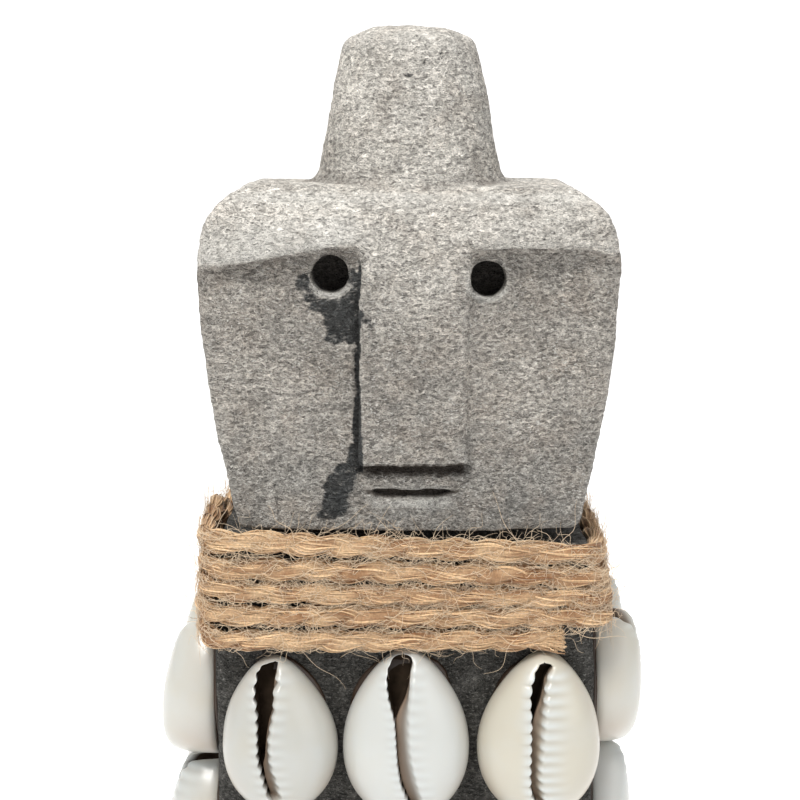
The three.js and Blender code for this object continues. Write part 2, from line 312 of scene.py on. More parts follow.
# Painted shade deep in the slits.
SHELL_DEEP_SHADE = (0.03, 0.02, 0.013)
SLIT_SHADE = (0.020, 0.014, 0.009)
SLIT_SHADE_PALER = (0.055, 0.038, 0.026)
JUTE_DARK = (0.24, 0.11, 0.045)
JUTE_PALE = (0.86, 0.60, 0.35)
JUTE_PATCH = (0.86, 0.645, 0.40)
JUTE_BLEACHED = (0.80, 0.70, 0.55)
GLUE_DARK = (0.022, 0.012, 0.007)
GLUE_BROWN = (0.06, 0.034, 0.02)
FLOOR_GREY = (0.86, 0.86, 0.86)
FLOOR_PALE = (0.9, 0.9, 0.9)


def stone_material():
    material, t = new_material("carved_stone")
    place = t.place()
    height = t.height(place)
    # The grain lies in short level ridges, so the pattern is squeezed upright.
    ridged = t.scaled(place, (1.0, 1.0, 1.9))
    patches = t.noise(place, 9 * MM, detail=3, rough=0.55)
    shifted = t.math("ADD", height, t.span(patches, 0.3, 0.7, -7 * MM, 7 * MM))
    lower = t.span(shifted, CHIN - 4 * MM, CHIN + 20 * MM)
    upper = t.attribute("patina")
    colour = t.mix(lower, STONE_CHIN, STONE_FACE)
    colour = t.mix(upper, colour, STONE_TOP)
    warm = t.noise(place, 5 * MM, detail=4, rough=0.6)
    colour = t.mix(t.span(warm, 0.45, 0.7, 0.0, 0.3), colour, STONE_WARM)
    shade = t.noise(place, 14 * MM, detail=4, rough=0.65)
    colour = t.mix(1.0, colour, t.span(shade, 0.3, 0.7, 0.8, 1.15), "MULTIPLY")
    below = t.span(height, CHIN - 0.2 * MM, CHIN - 1.2 * MM)
    worn = t.noise(place, 2.2 * MM, detail=4, rough=0.65)
    body = t.mix(t.span(worn, 0.4, 0.75), STONE_BODY, STONE_BODY_PALE)
    colour = t.mix(below, colour, body)
    # Grain: pale winding ridges with dark hollows between them, partly the grain's own tone and partly
    # painted highlight and shade of its relief, and finer sparkle.
    field = t.noise(ridged, 1.8 * MM, detail=2, rough=0.6, distortion=0.8)
    off_ridge = t.math("ABSOLUTE", t.math("SUBTRACT", field, 0.5))
    ridges = t.span(off_ridge, 0.0, 0.13, 1.0, 0.0)
    rough = t.noise(ridged, 0.9 * MM, detail=3, rough=0.6, distortion=0.5)
    fine = t.noise(ridged, 0.3 * MM, detail=2, rough=0.6)
    colour = t.mix(1.0, colour, t.span(ridges, 0.0, 1.0, 0.72, 1.24), "MULTIPLY")
    colour = t.mix(1.0, colour, t.span(rough, 0.34, 0.64, 0.56, 1.36), "MULTIPLY")
    colour = t.mix(1.0, colour, t.span(fine, 0.34, 0.66, 0.7, 1.32), "MULTIPLY")
    glint = t.noise(ridged, 0.5 * MM, detail=1, rough=0.5)
    amount = t.span(patches, 0.35, 0.75, 0.3, 0.8)
    amount = t.math("MULTIPLY", amount, t.span(below, 0.0, 1.0, 1.0, 0.35))
    colour = t.mix(t.math("MULTIPLY", t.span(glint, 0.6, 0.7), amount), colour, SPECK_AND_HIGHLIGHT)
    # Worn edges are paler, and hollows are darkened with painted shade.
    edge = t.attribute("edge")
    colour = t.mix(t.span(edge, 0.4, 1.0, 0.0, 0.2), colour, SPECK_AND_HIGHLIGHT)
    colour = t.mix(t.span(edge, -0.3, -1.0, 0.0, 0.4), colour, SHADE_AND_DIRT)
    # Painted shadow with some dirt below the brow and nose, and painted shade in the mouth.
    colour = t.mix(t.math("MULTIPLY", t.attribute("shadow_and_dirt"), 0.9), colour, SHADE_AND_DIRT)
    broken = t.math("ADD", t.attribute("stain"), t.span(rough, 0.3, 0.7, 0.3, -0.3))
    colour = t.mix(t.span(broken, 0.3, 0.85), colour, t.mix(1.0, colour, STAIN, "MULTIPLY"))
    # Pale chips below the eyes, and painted highlights on the left brow, the cap's rim and the lower
    # lip.
    chips_and_highlights_amount = t.math("MULTIPLY", t.attribute("chips_and_highlights"), t.span(rough, 0.3, 0.55, 0.3, 1.0))
    colour = t.mix(chips_and_highlights_amount, colour, SPECK_AND_HIGHLIGHT)
    # Painted shade inside the drilled eyes.
    colour = t.mix(t.attribute("hole"), colour, EYE_HOLE_SHADE)
    normal = t.bump(ridges, 0.2 * MM, 1.0)
    normal = t.bump(rough, 1.1 * MM, 1.0, normal)
    normal = t.bump(fine, 0.3 * MM, 0.9, normal)
    t.shade({"Base Color": colour, "Roughness": 0.9, "Specular IOR Level": 0.25, "Normal": normal})
    return material


def cowrie_material():
    material, t = new_material("cowrie")
    place = t.place()
    cloud = t.noise(place, 6 * MM, detail=3, rough=0.5)
    cream = t.math("ADD", t.attribute("tint"), t.span(cloud, 0.3, 0.7, -0.25, 0.25))
    colour = t.mix(t.span(cream, 0.0, 1.0), SHELL_GREY, SHELL_CREAM)
    colour = t.mix(1.0, colour, t.span(t.attribute("dim"), 0.0, 1.0, 1.0, 0.87), "MULTIPLY")
    # The ribs' paler teeth with a painted highlight, and painted shadow in the grooves between them.
    colour = t.mix(t.attribute("rib"), colour, SHELL_RIB_WITH_HIGHLIGHT)
    colour = t.mix(t.attribute("groove"), colour, SHELL_GROOVE_SHADOW)
    colour = t.mix(t.attribute("flush"), colour, SHELL_FLUSH)
    colour = t.mix(t.attribute("fold"), colour, SHELL_FOLD)
    # Painted shade, darker the deeper the slit goes.
    colour = t.mix(t.attribute("deep"), colour, SHELL_DEEP_SHADE)
    gloss = t.noise(place, 2.5 * MM, detail=2)
    t.shade({
        "Base Color": colour, "Roughness": t.span(gloss, 0.0, 1.0, 0.27, 0.37),
        "Subsurface Weight": 0.12, "Subsurface Radius": (1.2, 0.9, 0.7), "Subsurface Scale": 1.2 * MM,
        "Coat Weight": 0.3, "Coat Roughness": 0.16,
    })
    return material


def cowrie_slit_shade_material():
    # Painted shade: a near-black, matte material for the deepest faces of the slits.
    material, t = new_material("cowrie_inside")
    cloud = t.noise(t.place(), 1.2 * MM, detail=2)
    colour = t.mix(cloud, SLIT_SHADE, SLIT_SHADE_PALER)
    t.shade({"Base Color": colour, "Roughness": 1.0, "Specular IOR Level": 0.05})
    return material


def jute_material(name, pale):
    material, t = new_material(name)
    place = t.place()
    tone = t.attribute("tone")
    patch = t.noise(place, 4 * MM, detail=2)
    colour = t.mix(tone, JUTE_DARK, JUTE_PALE)
    colour = t.mix(t.span(patch, 0.35, 0.7, 0.0, 0.45), colour, JUTE_PATCH)
    fine = t.noise(place, 0.3 * MM, detail=2)
    colour = t.mix(1.0, colour, t.span(fine, 0.3, 0.7, 0.75, 1.2), "MULTIPLY")
    colour = t.mix(pale, colour, JUTE_BLEACHED)
    t.shade({
        "Base Color": colour, "Roughness": 0.72, "Specular IOR Level": 0.3,
        "Sheen Weight": 0.15, "Sheen Roughness": 0.5, "Normal": t.bump(fine, 0.05 * MM, 0.6),
    })
    return material


def glue_material():
    material, t = new_material("glue")
    cloud = t.noise(t.place(), 1.5 * MM, detail=2)
    colour = t.mix(cloud, GLUE_DARK, GLUE_BROWN)
    gloss = t.span(cloud, 0.3, 0.7, 0.3, 0.5)
    t.shade({"Base Color": colour, "Roughness": gloss, "Normal": t.bump(cloud, 0.2 * MM, 0.5)})
    return material


def stage_material():
    material, t = new_material("stage")
    cloud = t.noise(t.place(), 0.4, detail=2)
    t.shade({
        "Base Color": t.mix(cloud, FLOOR_GREY, FLOOR_PALE), "Roughness": 0.8,
        "Emission Color": (1, 1, 1), "Emission Strength": 0.4,
    })
    return material


STONE = stone_material()
COWRIE = cowrie_material()
COWRIE_SLIT_SHADE = cowrie_slit_shade_material()
JUTE = jute_material("jute_strands", 0.0)
JUTE_HAIR = jute_material("jute_hairs", 0.5)
GLUE = glue_material()

# ---------------------------------------------------------------- the stone

FACE_VOXEL = 0.34 * MM
HEAD_VOXEL = 0.62 * MM
BODY_VOXEL = 1.2 * MM
FACE_PART = STONE_LOW[1] + 8 * MM
PART_OVERLAP = 1.5 * MM


def remeshed(mesh, voxel):
    """A copy of a closed mesh, made again in even quads of one size."""
    obj = link_object("remesh_work", mesh)
    remesh = obj.modifiers.new("remesh", "REMESH")
    remesh.mode = "VOXEL"
    remesh.voxel_size = voxel
    graph = bpy.context.evaluated_depsgraph_get()
    result = bpy.data.meshes.new_from_object(obj.evaluated_get(graph), depsgraph=graph)
    bpy.data.objects.remove(obj)
    return result


def part_of(mesh, axis, level, keep_above):
    """The closed part of a mesh on one side of a plane."""
    normal = [0, 0, 0]
    normal[axis] = 1
    place = [0, 0, 0]
    place[axis] = level
    work = bmesh.new()
    work.from_mesh(mesh)
    everything = work.verts[:] + work.edges[:] + work.faces[:]
    cut = bmesh.ops.bisect_plane(
        work, geom=everything, plane_co=place, plane_no=normal,
        clear_inner=keep_above, clear_outer=not keep_above,
    )
    rim = [e for e in cut["geom_cut"] if isinstance(e, bmesh.types.BMEdge)]
    bmesh.ops.holes_fill(work, edges=rim)
    bmesh.ops.recalc_face_normals(work, faces=work.faces[:])
    result = bpy.data.meshes.new("stone_part")
    work.to_mesh(result)
    work.free()
    return result


def joined(mesh, other):
    """The union of two closed meshes."""
    obj = link_object("join_work", mesh)
    tool = link_object("join_tool", other)
    union = obj.modifiers.new("union", "BOOLEAN")
    union.operation = "UNION"
    union.solver = "MANIFOLD"
    union.object = tool
    graph = bpy.context.evaluated_depsgraph_get()
    result = bpy.data.meshes.new_from_object(obj.evaluated_get(graph), depsgraph=graph)
    bpy.data.objects.remove(obj)
    bpy.data.objects.remove(tool)
    return result


def smoothed(points, edges, rounds, amount=0.5):
    """Points pulled towards the middle of their neighbours, rounds times over.

    The amount is one number, or one for each point in a column.
    """
    count = np.bincount(edges.ravel(), minlength=len(points))[:, None]
    for _ in range(rounds):
        total = np.zeros_like(points)
        for axis in range(3):
            total[:, axis] = np.bincount(
                edges[:, 0], points[edges[:, 1], axis], minlength=len(points)
            ) + np.bincount(edges[:, 1], points[edges[:, 0], axis], minlength=len(points))
        points = points + amount * (total / np.maximum(count, 1) - points)
    return points


def edges_of(mesh):
    flat = np.empty(len(mesh.edges) * 2, np.int32)
    mesh.edges.foreach_get("vertices", flat)
    return flat.reshape(-1, 2)


# Features of the face, in mm from the middle of the head and the chin: x, z.
EYES = ((-11.1, 37.4), (11.1, 36.8))
EYE_RADIUS = 2.7
EYE_BACK = -8.0
NOSE_OFFSET = 0.8
NOSE_HALF = 7.85
NOSE_LEFT = NOSE_OFFSET - NOSE_HALF
NOSE_RIGHT = NOSE_OFFSET + NOSE_HALF
NOSE_MIDDLE = (NOSE_LEFT + NOSE_RIGHT) / 2
BROW_EDGE = 41.4
BROW_SLOPE_LEFT = 0.166
BROW_SLOPE_RIGHT = 0.32
BROW_LEVEL_TO = 25.2
NOSE_BOTTOM = 10.2
UNDERCUT_TALL = 0.75
UNDERCUT_DEEP = 1.3
MOUTH_X = 0.5
MOUTH_HALF = 7.0
MOUTH_TOP = 6.3
MOUTH_TALL = 1.4


def brow_at(x):
    """Height of the brow's lower edge: it falls away towards both temples."""
    left = BROW_SLOPE_LEFT * np.maximum(EYES[0][0] - x, 0)
    right = BROW_SLOPE_RIGHT * np.maximum(x - BROW_LEVEL_TO, 0)
    return BROW_EDGE - left - right


def on_head(points):
    """Points in mm from the middle of the head, in x, y and height above the chin."""
    return (points[:, 0] - HEAD_X) / MM, points[:, 1] / MM, (points[:, 2] - CHIN) / MM


def on_plane(x, z):
    """Points for the noise that doesn't change from front to back."""
    return np.stack([x, np.zeros_like(x), z], -1)


# Dark stains: x, z, radius across, radius up, strength.
STAINS = (
    (-14.8, 36.2, 1.3, 1.3, 0.85),
    (-13.8, 34.3, 1.4, 1.1, 0.85),
    (-12.4, 33.0, 2.0, 1.2, 0.9),
    (-10.0, 32.8, 2.6, 1.5, 1.0),
    (-8.4, 33.6, 1.1, 2.2, 0.9),
    (-9.7, 30.6, 2.2, 1.8, 1.0),
    (-8.3, 29.9, 1.1, 2.4, 1.0),
    (-8.1, 36.6, 0.75, 2.0, 0.9),
    (-10.3, 28.6, 1.6, 1.1, 0.9),
    (-6.9, 32.1, 0.8, 0.7, 0.8),
    (-6.0, 31.2, 0.9, 0.35, 0.8),
    (-5.2, 30.8, 0.8, 0.3, 0.7),
    (-7.9, 10.9, 1.0, 2.2, 0.95),
    (-9.0, 8.7, 1.8, 1.6, 0.95),
    (-10.1, 6.8, 2.2, 2.0, 1.0),
    (-10.7, 4.3, 1.9, 2.2, 1.0),
    (-11.8, 2.5, 1.6, 0.9, 0.85),
)


def face_stain(x, z, noise):
    """How dark each point of the face is stained, from 0 to 1."""
    at = on_plane(x, z)
    warp = noise(at, 3.2) + 0.7 * noise(at, 1.3)
    stain = np.zeros_like(x)
    for cx, cz, rx, rz, strength in STAINS:
        away = np.hypot((x - cx) / rx, (z - cz) / rz)
        stain = np.maximum(stain, strength * smoothstep(1.4, 0.75, away + 0.22 * warp))
    # The groove down the left edge of the nose.
    line = np.abs(x - groove_at(z, noise))
    along = smoothstep(7.0, 10.0, z) * smoothstep(BROW_EDGE - 1, BROW_EDGE - 3, z)
    thick = 0.3 + 0.25 * (1 + noise(at, 6.0)) * smoothstep(34, 8, z)
    stain = np.maximum(stain, 1.1 * smoothstep(1.6, 0.7, line / thick) * along)
    return stain


def face_shadow_and_dirt(x, z, noise):
    """Where painted shadow with some dirt lies in brown: below the brow and in the cut below the nose;
    the mouth's slot gets painted shade.
    """
    at = on_plane(x, z)
    warp = 0.35 * noise(at, 1.1) + 0.2 * noise(at, 0.5)
    across = smoothstep(7.7, 7.1, np.abs(x - NOSE_MIDDLE) + 0.4 * warp)
    below_nose = NOSE_BOTTOM + 0.35 - z + warp
    shadow_and_dirt = across * smoothstep(0.0, 0.3, below_nose) * smoothstep(2.7, 1.6, below_nose)
    shadow_and_dirt = np.maximum(shadow_and_dirt, 0.9 * mouth_slot(x, z))
    below_brow = brow_at(x) - z + 1.5 * warp
    beside = smoothstep(0.0, 2.0, np.maximum(NOSE_LEFT - x, x - NOSE_RIGHT))
    shade = smoothstep(-0.4, 0.8, below_brow) * smoothstep(5.0, 1.0, below_brow)
    strength = np.where(x < 0, 0.36, 0.2)
    return np.maximum(shadow_and_dirt, strength * shade * beside)


def undercut(z):
    """1 in the narrow cut just below the nose."""
    return bell(z - NOSE_BOTTOM + UNDERCUT_TALL, UNDERCUT_TALL)


def mouth_slot(x, z):
    """1 inside the boat-shaped slot of the mouth."""
    along = np.abs(x - MOUTH_X) / MOUTH_HALF
    low = MOUTH_TOP - MOUTH_TALL * np.sqrt(np.clip(1 - along**3, 0, 1))
    inside = smoothstep(low - 0.15, low + 0.15, z) * smoothstep(MOUTH_TOP + 0.15, MOUTH_TOP - 0.15, z)
    return inside * (along < 1)


def groove_at(z, noise):
    """Where the groove beside the nose lies: it wanders a little."""
    at = on_plane(np.zeros_like(z), z)
    return NOSE_LEFT - 0.25 + 0.3 * noise(at, 7.0) + 0.16 * noise(at, 2.0)


def carve_head(points, normals, noise):
    """How far out each of the head's points moves, in mm: waves, coves, swellings and chips."""
    x, y, z = on_head(points)
    facing = smoothstep(-0.3, -0.7, normals[:, 1]) * smoothstep(-13, -15, y)
    at = points / MM
    level = at * (1, 1, 1.7)
    push = 0.26 * noise(at, 17) + 0.2 * noise(at + 50, 8)
    push += 0.12 * noise(at, 3.6) + 0.085 * noise(level, 1.7) + 0.075 * noise(level + 31, 1.0)
    # Under the brow the cheeks are hollowed a little more, and the brow itself swells.
    cheek = (x < NOSE_LEFT) | (x > NOSE_RIGHT)
    under = brow_at(x) - z
    cove = smoothstep(6.5, 2.0, under) * smoothstep(-0.4, 1.0, under)
    push -= 0.45 * cove * cheek * facing
    for sx, sz, wide, tall, swell in BROW_SWELLS:
        push += swell * bell(x - sx, wide) * bell(z - sz, tall) * facing
    # The groove along the nose is cut sharp on the left and faint on the right.
    below_brow = smoothstep(BROW_EDGE - 1, BROW_EDGE - 4, z) * smoothstep(5, 9, z)
    for edge, wide, depth in ((groove_at(z, noise), 0.3, 0.75), (NOSE_RIGHT + 0.1, 0.4, 0.16)):
        push -= depth * bell(x - edge, wide) * below_brow * facing
    # The nose is undercut, and the lip below the mouth is fuller.
    on_nose = smoothstep(8.4, 7.6, np.abs(x - NOSE_MIDDLE))
    push -= UNDERCUT_DEEP * undercut(z) * on_nose * facing
    push += 0.28 * lower_lip(x, z) * facing
    # Chips at the lower rims of the eyes.
    push -= 0.5 * eye_chips(x, z, noise) * facing
    return push


def lower_lip(x, z):
    """1 along the fuller lip below the mouth, which is painted paler: its white-speckled stone and a
    painted highlight.
    """
    along = np.abs(x - MOUTH_X) / MOUTH_HALF
    return bell(z - MOUTH_TOP + MOUTH_TALL + 0.8, 0.6) * smoothstep(1.0, 0.75, along)


def eye_chips(x, z, noise):
    """1 where the lower rims of the eyes have chipped away."""
    at = on_plane(x, z)
    chips = np.zeros_like(x)
    for ex, ez in EYES:
        away = np.hypot(x - ex, z - ez)
        low = smoothstep(-0.2, -0.75, (z - ez) / np.maximum(away, 0.1))
        ragged = 0.3 * noise(at, 1.6) + 0.25 * noise(at, 0.6)
        rim = smoothstep(EYE_RADIUS + 0.85, EYE_RADIUS + 0.45, away + ragged)
        chips = np.maximum(chips, rim * low)
    return chips


# Swellings of the brow: x, z, how wide, how tall, how far out.
BROW_SWELLS = (
    (-22.0, 40.6, 6.0, 1.7, 0.9),
    (-13.5, 42.2, 4.5, 1.6, 0.7),
    (13.0, 42.4, 4.5, 1.6, 0.5),
    (21.5, 41.6, 6.0, 1.8, 0.6),
    (1.0, 40.0, 6.0, 6.0, -0.3),
)

CAP_PITS = ((0.1, 65.2, 0.5), (2.2, 67.0, 0.35), (4.9, 68.2, 0.35), (-3.0, 58.0, 0.3))


def face_patina(x, z, noise):
    """How pale and weathered the stone is: 0 low on the face, 1 from the brow up."""
    at = on_plane(x, z)
    below = brow_at(x) - 0.3 - z + 0.6 * noise(at, 2.8) + 0.4 * noise(at, 1.0)
    cheek = smoothstep(0.7, -0.7, below)
    nose = smoothstep(24.0, 50.0, z + 2.0 * noise(at, 6.0))
    on_nose = smoothstep(9.0, 7.4, np.abs(x - NOSE_MIDDLE))
    return cheek * (1 - on_nose) + nose * on_nose


def worn_away(x, z):
    """Where the carving's edges are worn quite round: at the nose's top and down its right side."""
    corner = smoothstep(33.0, 36.0, z) * smoothstep(BROW_EDGE + 3.0, BROW_EDGE + 1.0, z)
    left = smoothstep(3.4, 2.2, np.abs(x - NOSE_LEFT)) * corner
    right = smoothstep(3.4, 2.2, np.abs(x - NOSE_RIGHT - 0.3)) * smoothstep(11.0, 14.0, z)
    right = right * smoothstep(BROW_EDGE + 3.0, BROW_EDGE + 1.0, z)
    worn = np.maximum(left, right)
    for ex, ez in EYES:
        worn = worn * smoothstep(EYE_RADIUS + 0.3, EYE_RADIUS + 0.9, np.hypot(x - ex, z - ez))
    return worn


def brow_and_rim_highlight(x, z):
    """1 where a painted highlight makes the stone palest: along the left brow, and on the rim round the
    cap.
    """
    above = z - brow_at(x)
    brow = smoothstep(0.0, 0.8, above) * smoothstep(6.5, 2.5, above)
    brow = brow * np.where(x < 0, smoothstep(-4.0, -9.0, x), 0.25 * smoothstep(8.0, 12.0, x))
    rim = smoothstep(46.0, 48.5, z) * smoothstep(52.0, 50.5, z)
    return np.maximum(brow, rim)


def shoulder_tuck(points):
    """How far the stone and its twine draw in, in mm, towards the shoulders, mostly on the right."""
    x, z = points[:, 0], points[:, 2] - SHELL_TOP / MM
    rise = smoothstep(5.0, 14.0, z)
    right = (0.3 + 1.3 * rise) * smoothstep(0.0, 20.0, x)
    left = (0.1 + 0.6 * rise) * smoothstep(0.0, -20.0, x)
    return (left - right) * smoothstep(-6.0, 0.0, z)


def eye_holes(x, y, z):
    """1 inside the drilled eyes, which are darkened with painted shade, and 0 elsewhere."""
    inside = np.zeros_like(x)
    for ex, ez in EYES:
        away = np.hypot(x - ex, z - ez) + 10 * (y > EYE_BACK)
        inside = np.maximum(inside, (away < EYE_RADIUS + 0.35) * smoothstep(-18.9, -15.0, y))
    return inside


def cap_pits(x, y, z):
    """1 in the small pits on the front of the cap."""
    pits = np.zeros_like(x)
    for px, pz, radius in CAP_PITS:
        away = np.hypot(x - px, z - pz) + 10 * (y > 0)
        pits = np.maximum(pits, smoothstep(1.25 * radius, 0.6 * radius, away))
    return pits


def cad_mesh_copy(node):
    """A copy of a CAD node's mesh, with its corners merged."""
    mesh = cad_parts[node].data.copy()
    work = bmesh.new()
    work.from_mesh(mesh)
    bmesh.ops.remove_doubles(work, verts=work.verts[:], dist=0.001 * MM)
    work.to_mesh(mesh)
    work.free()
    return mesh


def stone_mesh():
    """The CAD stone made again in even quads, which are finest on the face."""
    source = cad_mesh_copy("carved_stone")
    seam = (SHOULDER + CHIN) / 2
    head = part_of(source, 2, seam - PART_OVERLAP, True)
    rear = remeshed(part_of(head, 1, FACE_PART - PART_OVERLAP, True), HEAD_VOXEL)
    front = part_of(part_of(head, 1, FACE_PART, False), 2, HEAD_TOP - 0.5 * MM, False)
    face = remeshed(front, FACE_VOXEL)
    body = remeshed(part_of(source, 2, seam, False), BODY_VOXEL)
    mesh = joined(joined(rear, face), body)
    mesh.name = "stone_figure"
    return mesh


def worn_points(mesh, edges, in_head):
    """The mesh's points with all edges rounded a little, and more where the carving is worn."""
    points = points_of(mesh)
    on_face = smoothstep(FACE_PART + 1 * MM, FACE_PART, points[:, 1]) * in_head
    rounded = smoothed(points, edges, 8, (0.2 + 0.3 * on_face)[:, None])
    x, _, z = on_head(rounded)
    return smoothed(rounded, edges, 60, 0.5 * worn_away(x, z)[:, None] * on_face[:, None])


def standing_proud(points, normals, edges, in_head):
    """Above 0 on edges and below 0 in hollows: each point against a wider average."""
    wide = smoothed(points, edges, 16)
    proud = ((points - wide) * normals).sum(-1)
    spread = np.where(in_head > 0.5, 0.16 * MM, 0.3 * MM)
    return np.clip(proud / spread, -1, 1) * (0.3 + 0.7 * in_head)


def build_stone():
    mesh = stone_mesh()
    edges = edges_of(mesh)
    in_head = smoothstep(SHOULDER + 0.5 * MM, CHIN + 1.5 * MM, points_of(mesh)[:, 2])
    points = worn_points(mesh, edges, in_head)
    set_points(mesh, points)
    normals = normals_of(mesh)
    noise = Noise(11)
    edge = standing_proud(points, normals, edges, in_head)
    at = points / MM
    body_push = 0.16 * noise(at + 70, 15) + 0.08 * noise(at + 20, 4)
    push = in_head * carve_head(points, normals, noise) + (1 - in_head) * body_push
    points[:, 0] += (1 - in_head) * shoulder_tuck(at) * MM
    push *= smoothstep(0.0, 2.0 * MM, points[:, 2])
    x, y, z = on_head(points)
    pits = cap_pits(x, y, z)
    push -= 0.6 * pits
    set_points(mesh, points + normals * push[:, None] * MM)
    shade_smooth(mesh)
    # What colours the stone: most of it only shows on the face.
    hole = eye_holes(x, y, z)
    shows = smoothstep(-14, -16, y) * smoothstep(0.3, 0.0, normals[:, 1]) * in_head * (1 - hole)
    eye_chip = eye_chips(x, z, noise)
    stain = face_stain(x, z, noise) * shows * (1 - 0.9 * eye_chip)
    # Pale chips below the eyes, and the lower lip painted paler: its speckled stone and a painted
    # highlight.
    chips_and_highlights = np.maximum(0.8 * eye_chip, 0.45 * lower_lip(x, z))
    # Painted highlights along the left brow and on the rim round the cap.
    chips_and_highlights = np.maximum(chips_and_highlights, 0.55 * brow_and_rim_highlight(x, z))
    add_attribute(mesh, "edge", edge * (1 - hole))
    # The pits on the cap are darkened with the stains' colour.
    add_attribute(mesh, "stain", np.maximum(stain, 0.9 * pits))
    # Painted shade inside the drilled eyes.
    add_attribute(mesh, "hole", hole)
    add_attribute(mesh, "chips_and_highlights", chips_and_highlights * shows)
    # Painted shadow with some dirt below the brow and nose, and painted shade in the mouth.
    add_attribute(mesh, "shadow_and_dirt", face_shadow_and_dirt(x, z, noise) * shows)
    add_attribute(mesh, "patina", np.where(y > -10, smoothstep(36, 46, z), face_patina(x, z, noise)))
    mesh.materials.clear()
    mesh.materials.append(STONE)
    piece = link_object("stone_figure", mesh)
    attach(piece, "root")
    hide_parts("carved_stone")


build_stone()

# ---------------------------------------------------------------- cowrie shells

# Each shell's aperture, from its top (0) to its bottom (1): where along the shell, then the
# left lip, the right lip and the right side of the dark part, in half widths from the middle.
SHELL_FORMS = (
    {
        "aperture": (
            (0.05, -0.10, -0.02, -0.02),
            (0.09, -0.30, -0.02, -0.02),
            (0.17, -0.36, -0.06, -0.06),
            (0.28, -0.39, -0.08, -0.08),
            (0.40, -0.34, -0.08, -0.09),
            (0.47, -0.33, -0.12, -0.15),
            (0.59, -0.33, -0.17, -0.20),
            (0.72, -0.32, -0.15, -0.22),
            (0.76, -0.29, -0.13, -0.26),
            (0.86, -0.23, -0.04, -0.22),
            (0.97, -0.15, 0.02, -0.14),
        ),
        "left": (1.55, 0.42), "right": (1.6, 0.2), "ribs": 0.3, "notch": (0.20, 0.5),
        "round": 0.0, "lean": -0.1, "tint": 0.35, "dim": 1.0,
    },
    {
        "aperture": (
            (0.045, -0.07, -0.02, -0.02),
            (0.07, -0.18, 0.08, 0.08),
            (0.11, -0.24, 0.10, 0.10),
            (0.18, -0.29, 0.06, 0.06),
            (0.26, -0.29, 0.05, 0.04),
            (0.34, -0.26, 0.03, -0.01),
            (0.42, -0.20, 0.01, -0.11),
            (0.48, -0.17, 0.01, -0.165),
            (0.60, -0.15, 0.02, -0.145),
            (0.72, -0.13, 0.06, -0.125),
            (0.84, -0.08, 0.14, -0.07),
            (0.97, 0.06, 0.25, 0.07),
        ),
        "left": (1.3, 0.24), "right": (1.6, 0.05), "ribs": 0.4, "notch": (0.1, 0.0),
        "round": 0.3, "lean": 0.0, "tint": 0.0, "dim": 0.1,
    },
    {
        "aperture": (
            (0.09, 0.0, 0.12, 0.12),
            (0.12, -0.03, 0.20, 0.20),
            (0.15, -0.08, 0.14, 0.14),
            (0.21, -0.12, 0.07, 0.06),
            (0.28, -0.16, 0.04, 0.03),
            (0.36, -0.17, 0.03, -0.02),
            (0.44, -0.16, 0.01, -0.10),
            (0.50, -0.16, 0.0, -0.15),
            (0.64, -0.165, -0.03, -0.155),
            (0.78, -0.175, -0.06, -0.165),
            (0.88, -0.165, -0.03, -0.155),
            (0.97, -0.08, 0.06, -0.07),
        ),
        "left": (1.6, 0.5), "right": (1.6, 0.34), "ribs": 1.0, "notch": (0.16, 0.0),
        "round": 0.7, "lean": 0.07, "tint": 1.0, "dim": 0.15,
    },
)

SHELL_EGG = 0.3
SHELL_NIP = 0.13
# How each wall's shells thicken towards the bottom, and how blunt their ends are.
WALL_LEAN = {"front": 0.5, "right": 0.0, "back": 0.5, "left": 0.4}
WALL_FULLNESS = {"front": 0.75, "right": 0.3, "back": 0.75, "left": 0.36}
# The right wall's shells below its first row are flatter than the rest.
LOWER_RIGHT_REACH = 0.84
# The apertures are drawn as they look from above by this much.
SIGHT_DOWN = math.radians(24)
TUCK = 1.0
RIM_COLUMNS = 3
FLOOR_DEPTH = 5.2
FOLD_OUTER = 0.55
FOLD_INNER = 1.9
LIP_LEFT = 0.3
LIP_RIGHT = 0.8


def eased(count):
    """Steps from 0 to 1, closer together near both ends."""
    return (1 - np.cos(np.pi * np.linspace(0, 1, count))) / 2


def scallop(along, period, phase, roundness):
    """A row of teeth from 0 to 1: even waves, or round teeth with narrow gaps."""
    within = 2 * np.mod(along / period + phase, 1) - 1
    teeth = np.sqrt(np.clip(1 - within * within, 0, 1))
    waves = 0.5 + 0.5 * np.cos(np.pi * within)
    return roundness * teeth + (1 - roundness) * waves


def softened(values, rounds):
    """Values evened out along their first direction, rounds times over."""
    for _ in range(rounds):
        padded = np.concatenate([values[:1], values, values[-1:]])
        values = (padded[:-2] + 2 * padded[1:-1] + padded[2:]) / 4
    return values


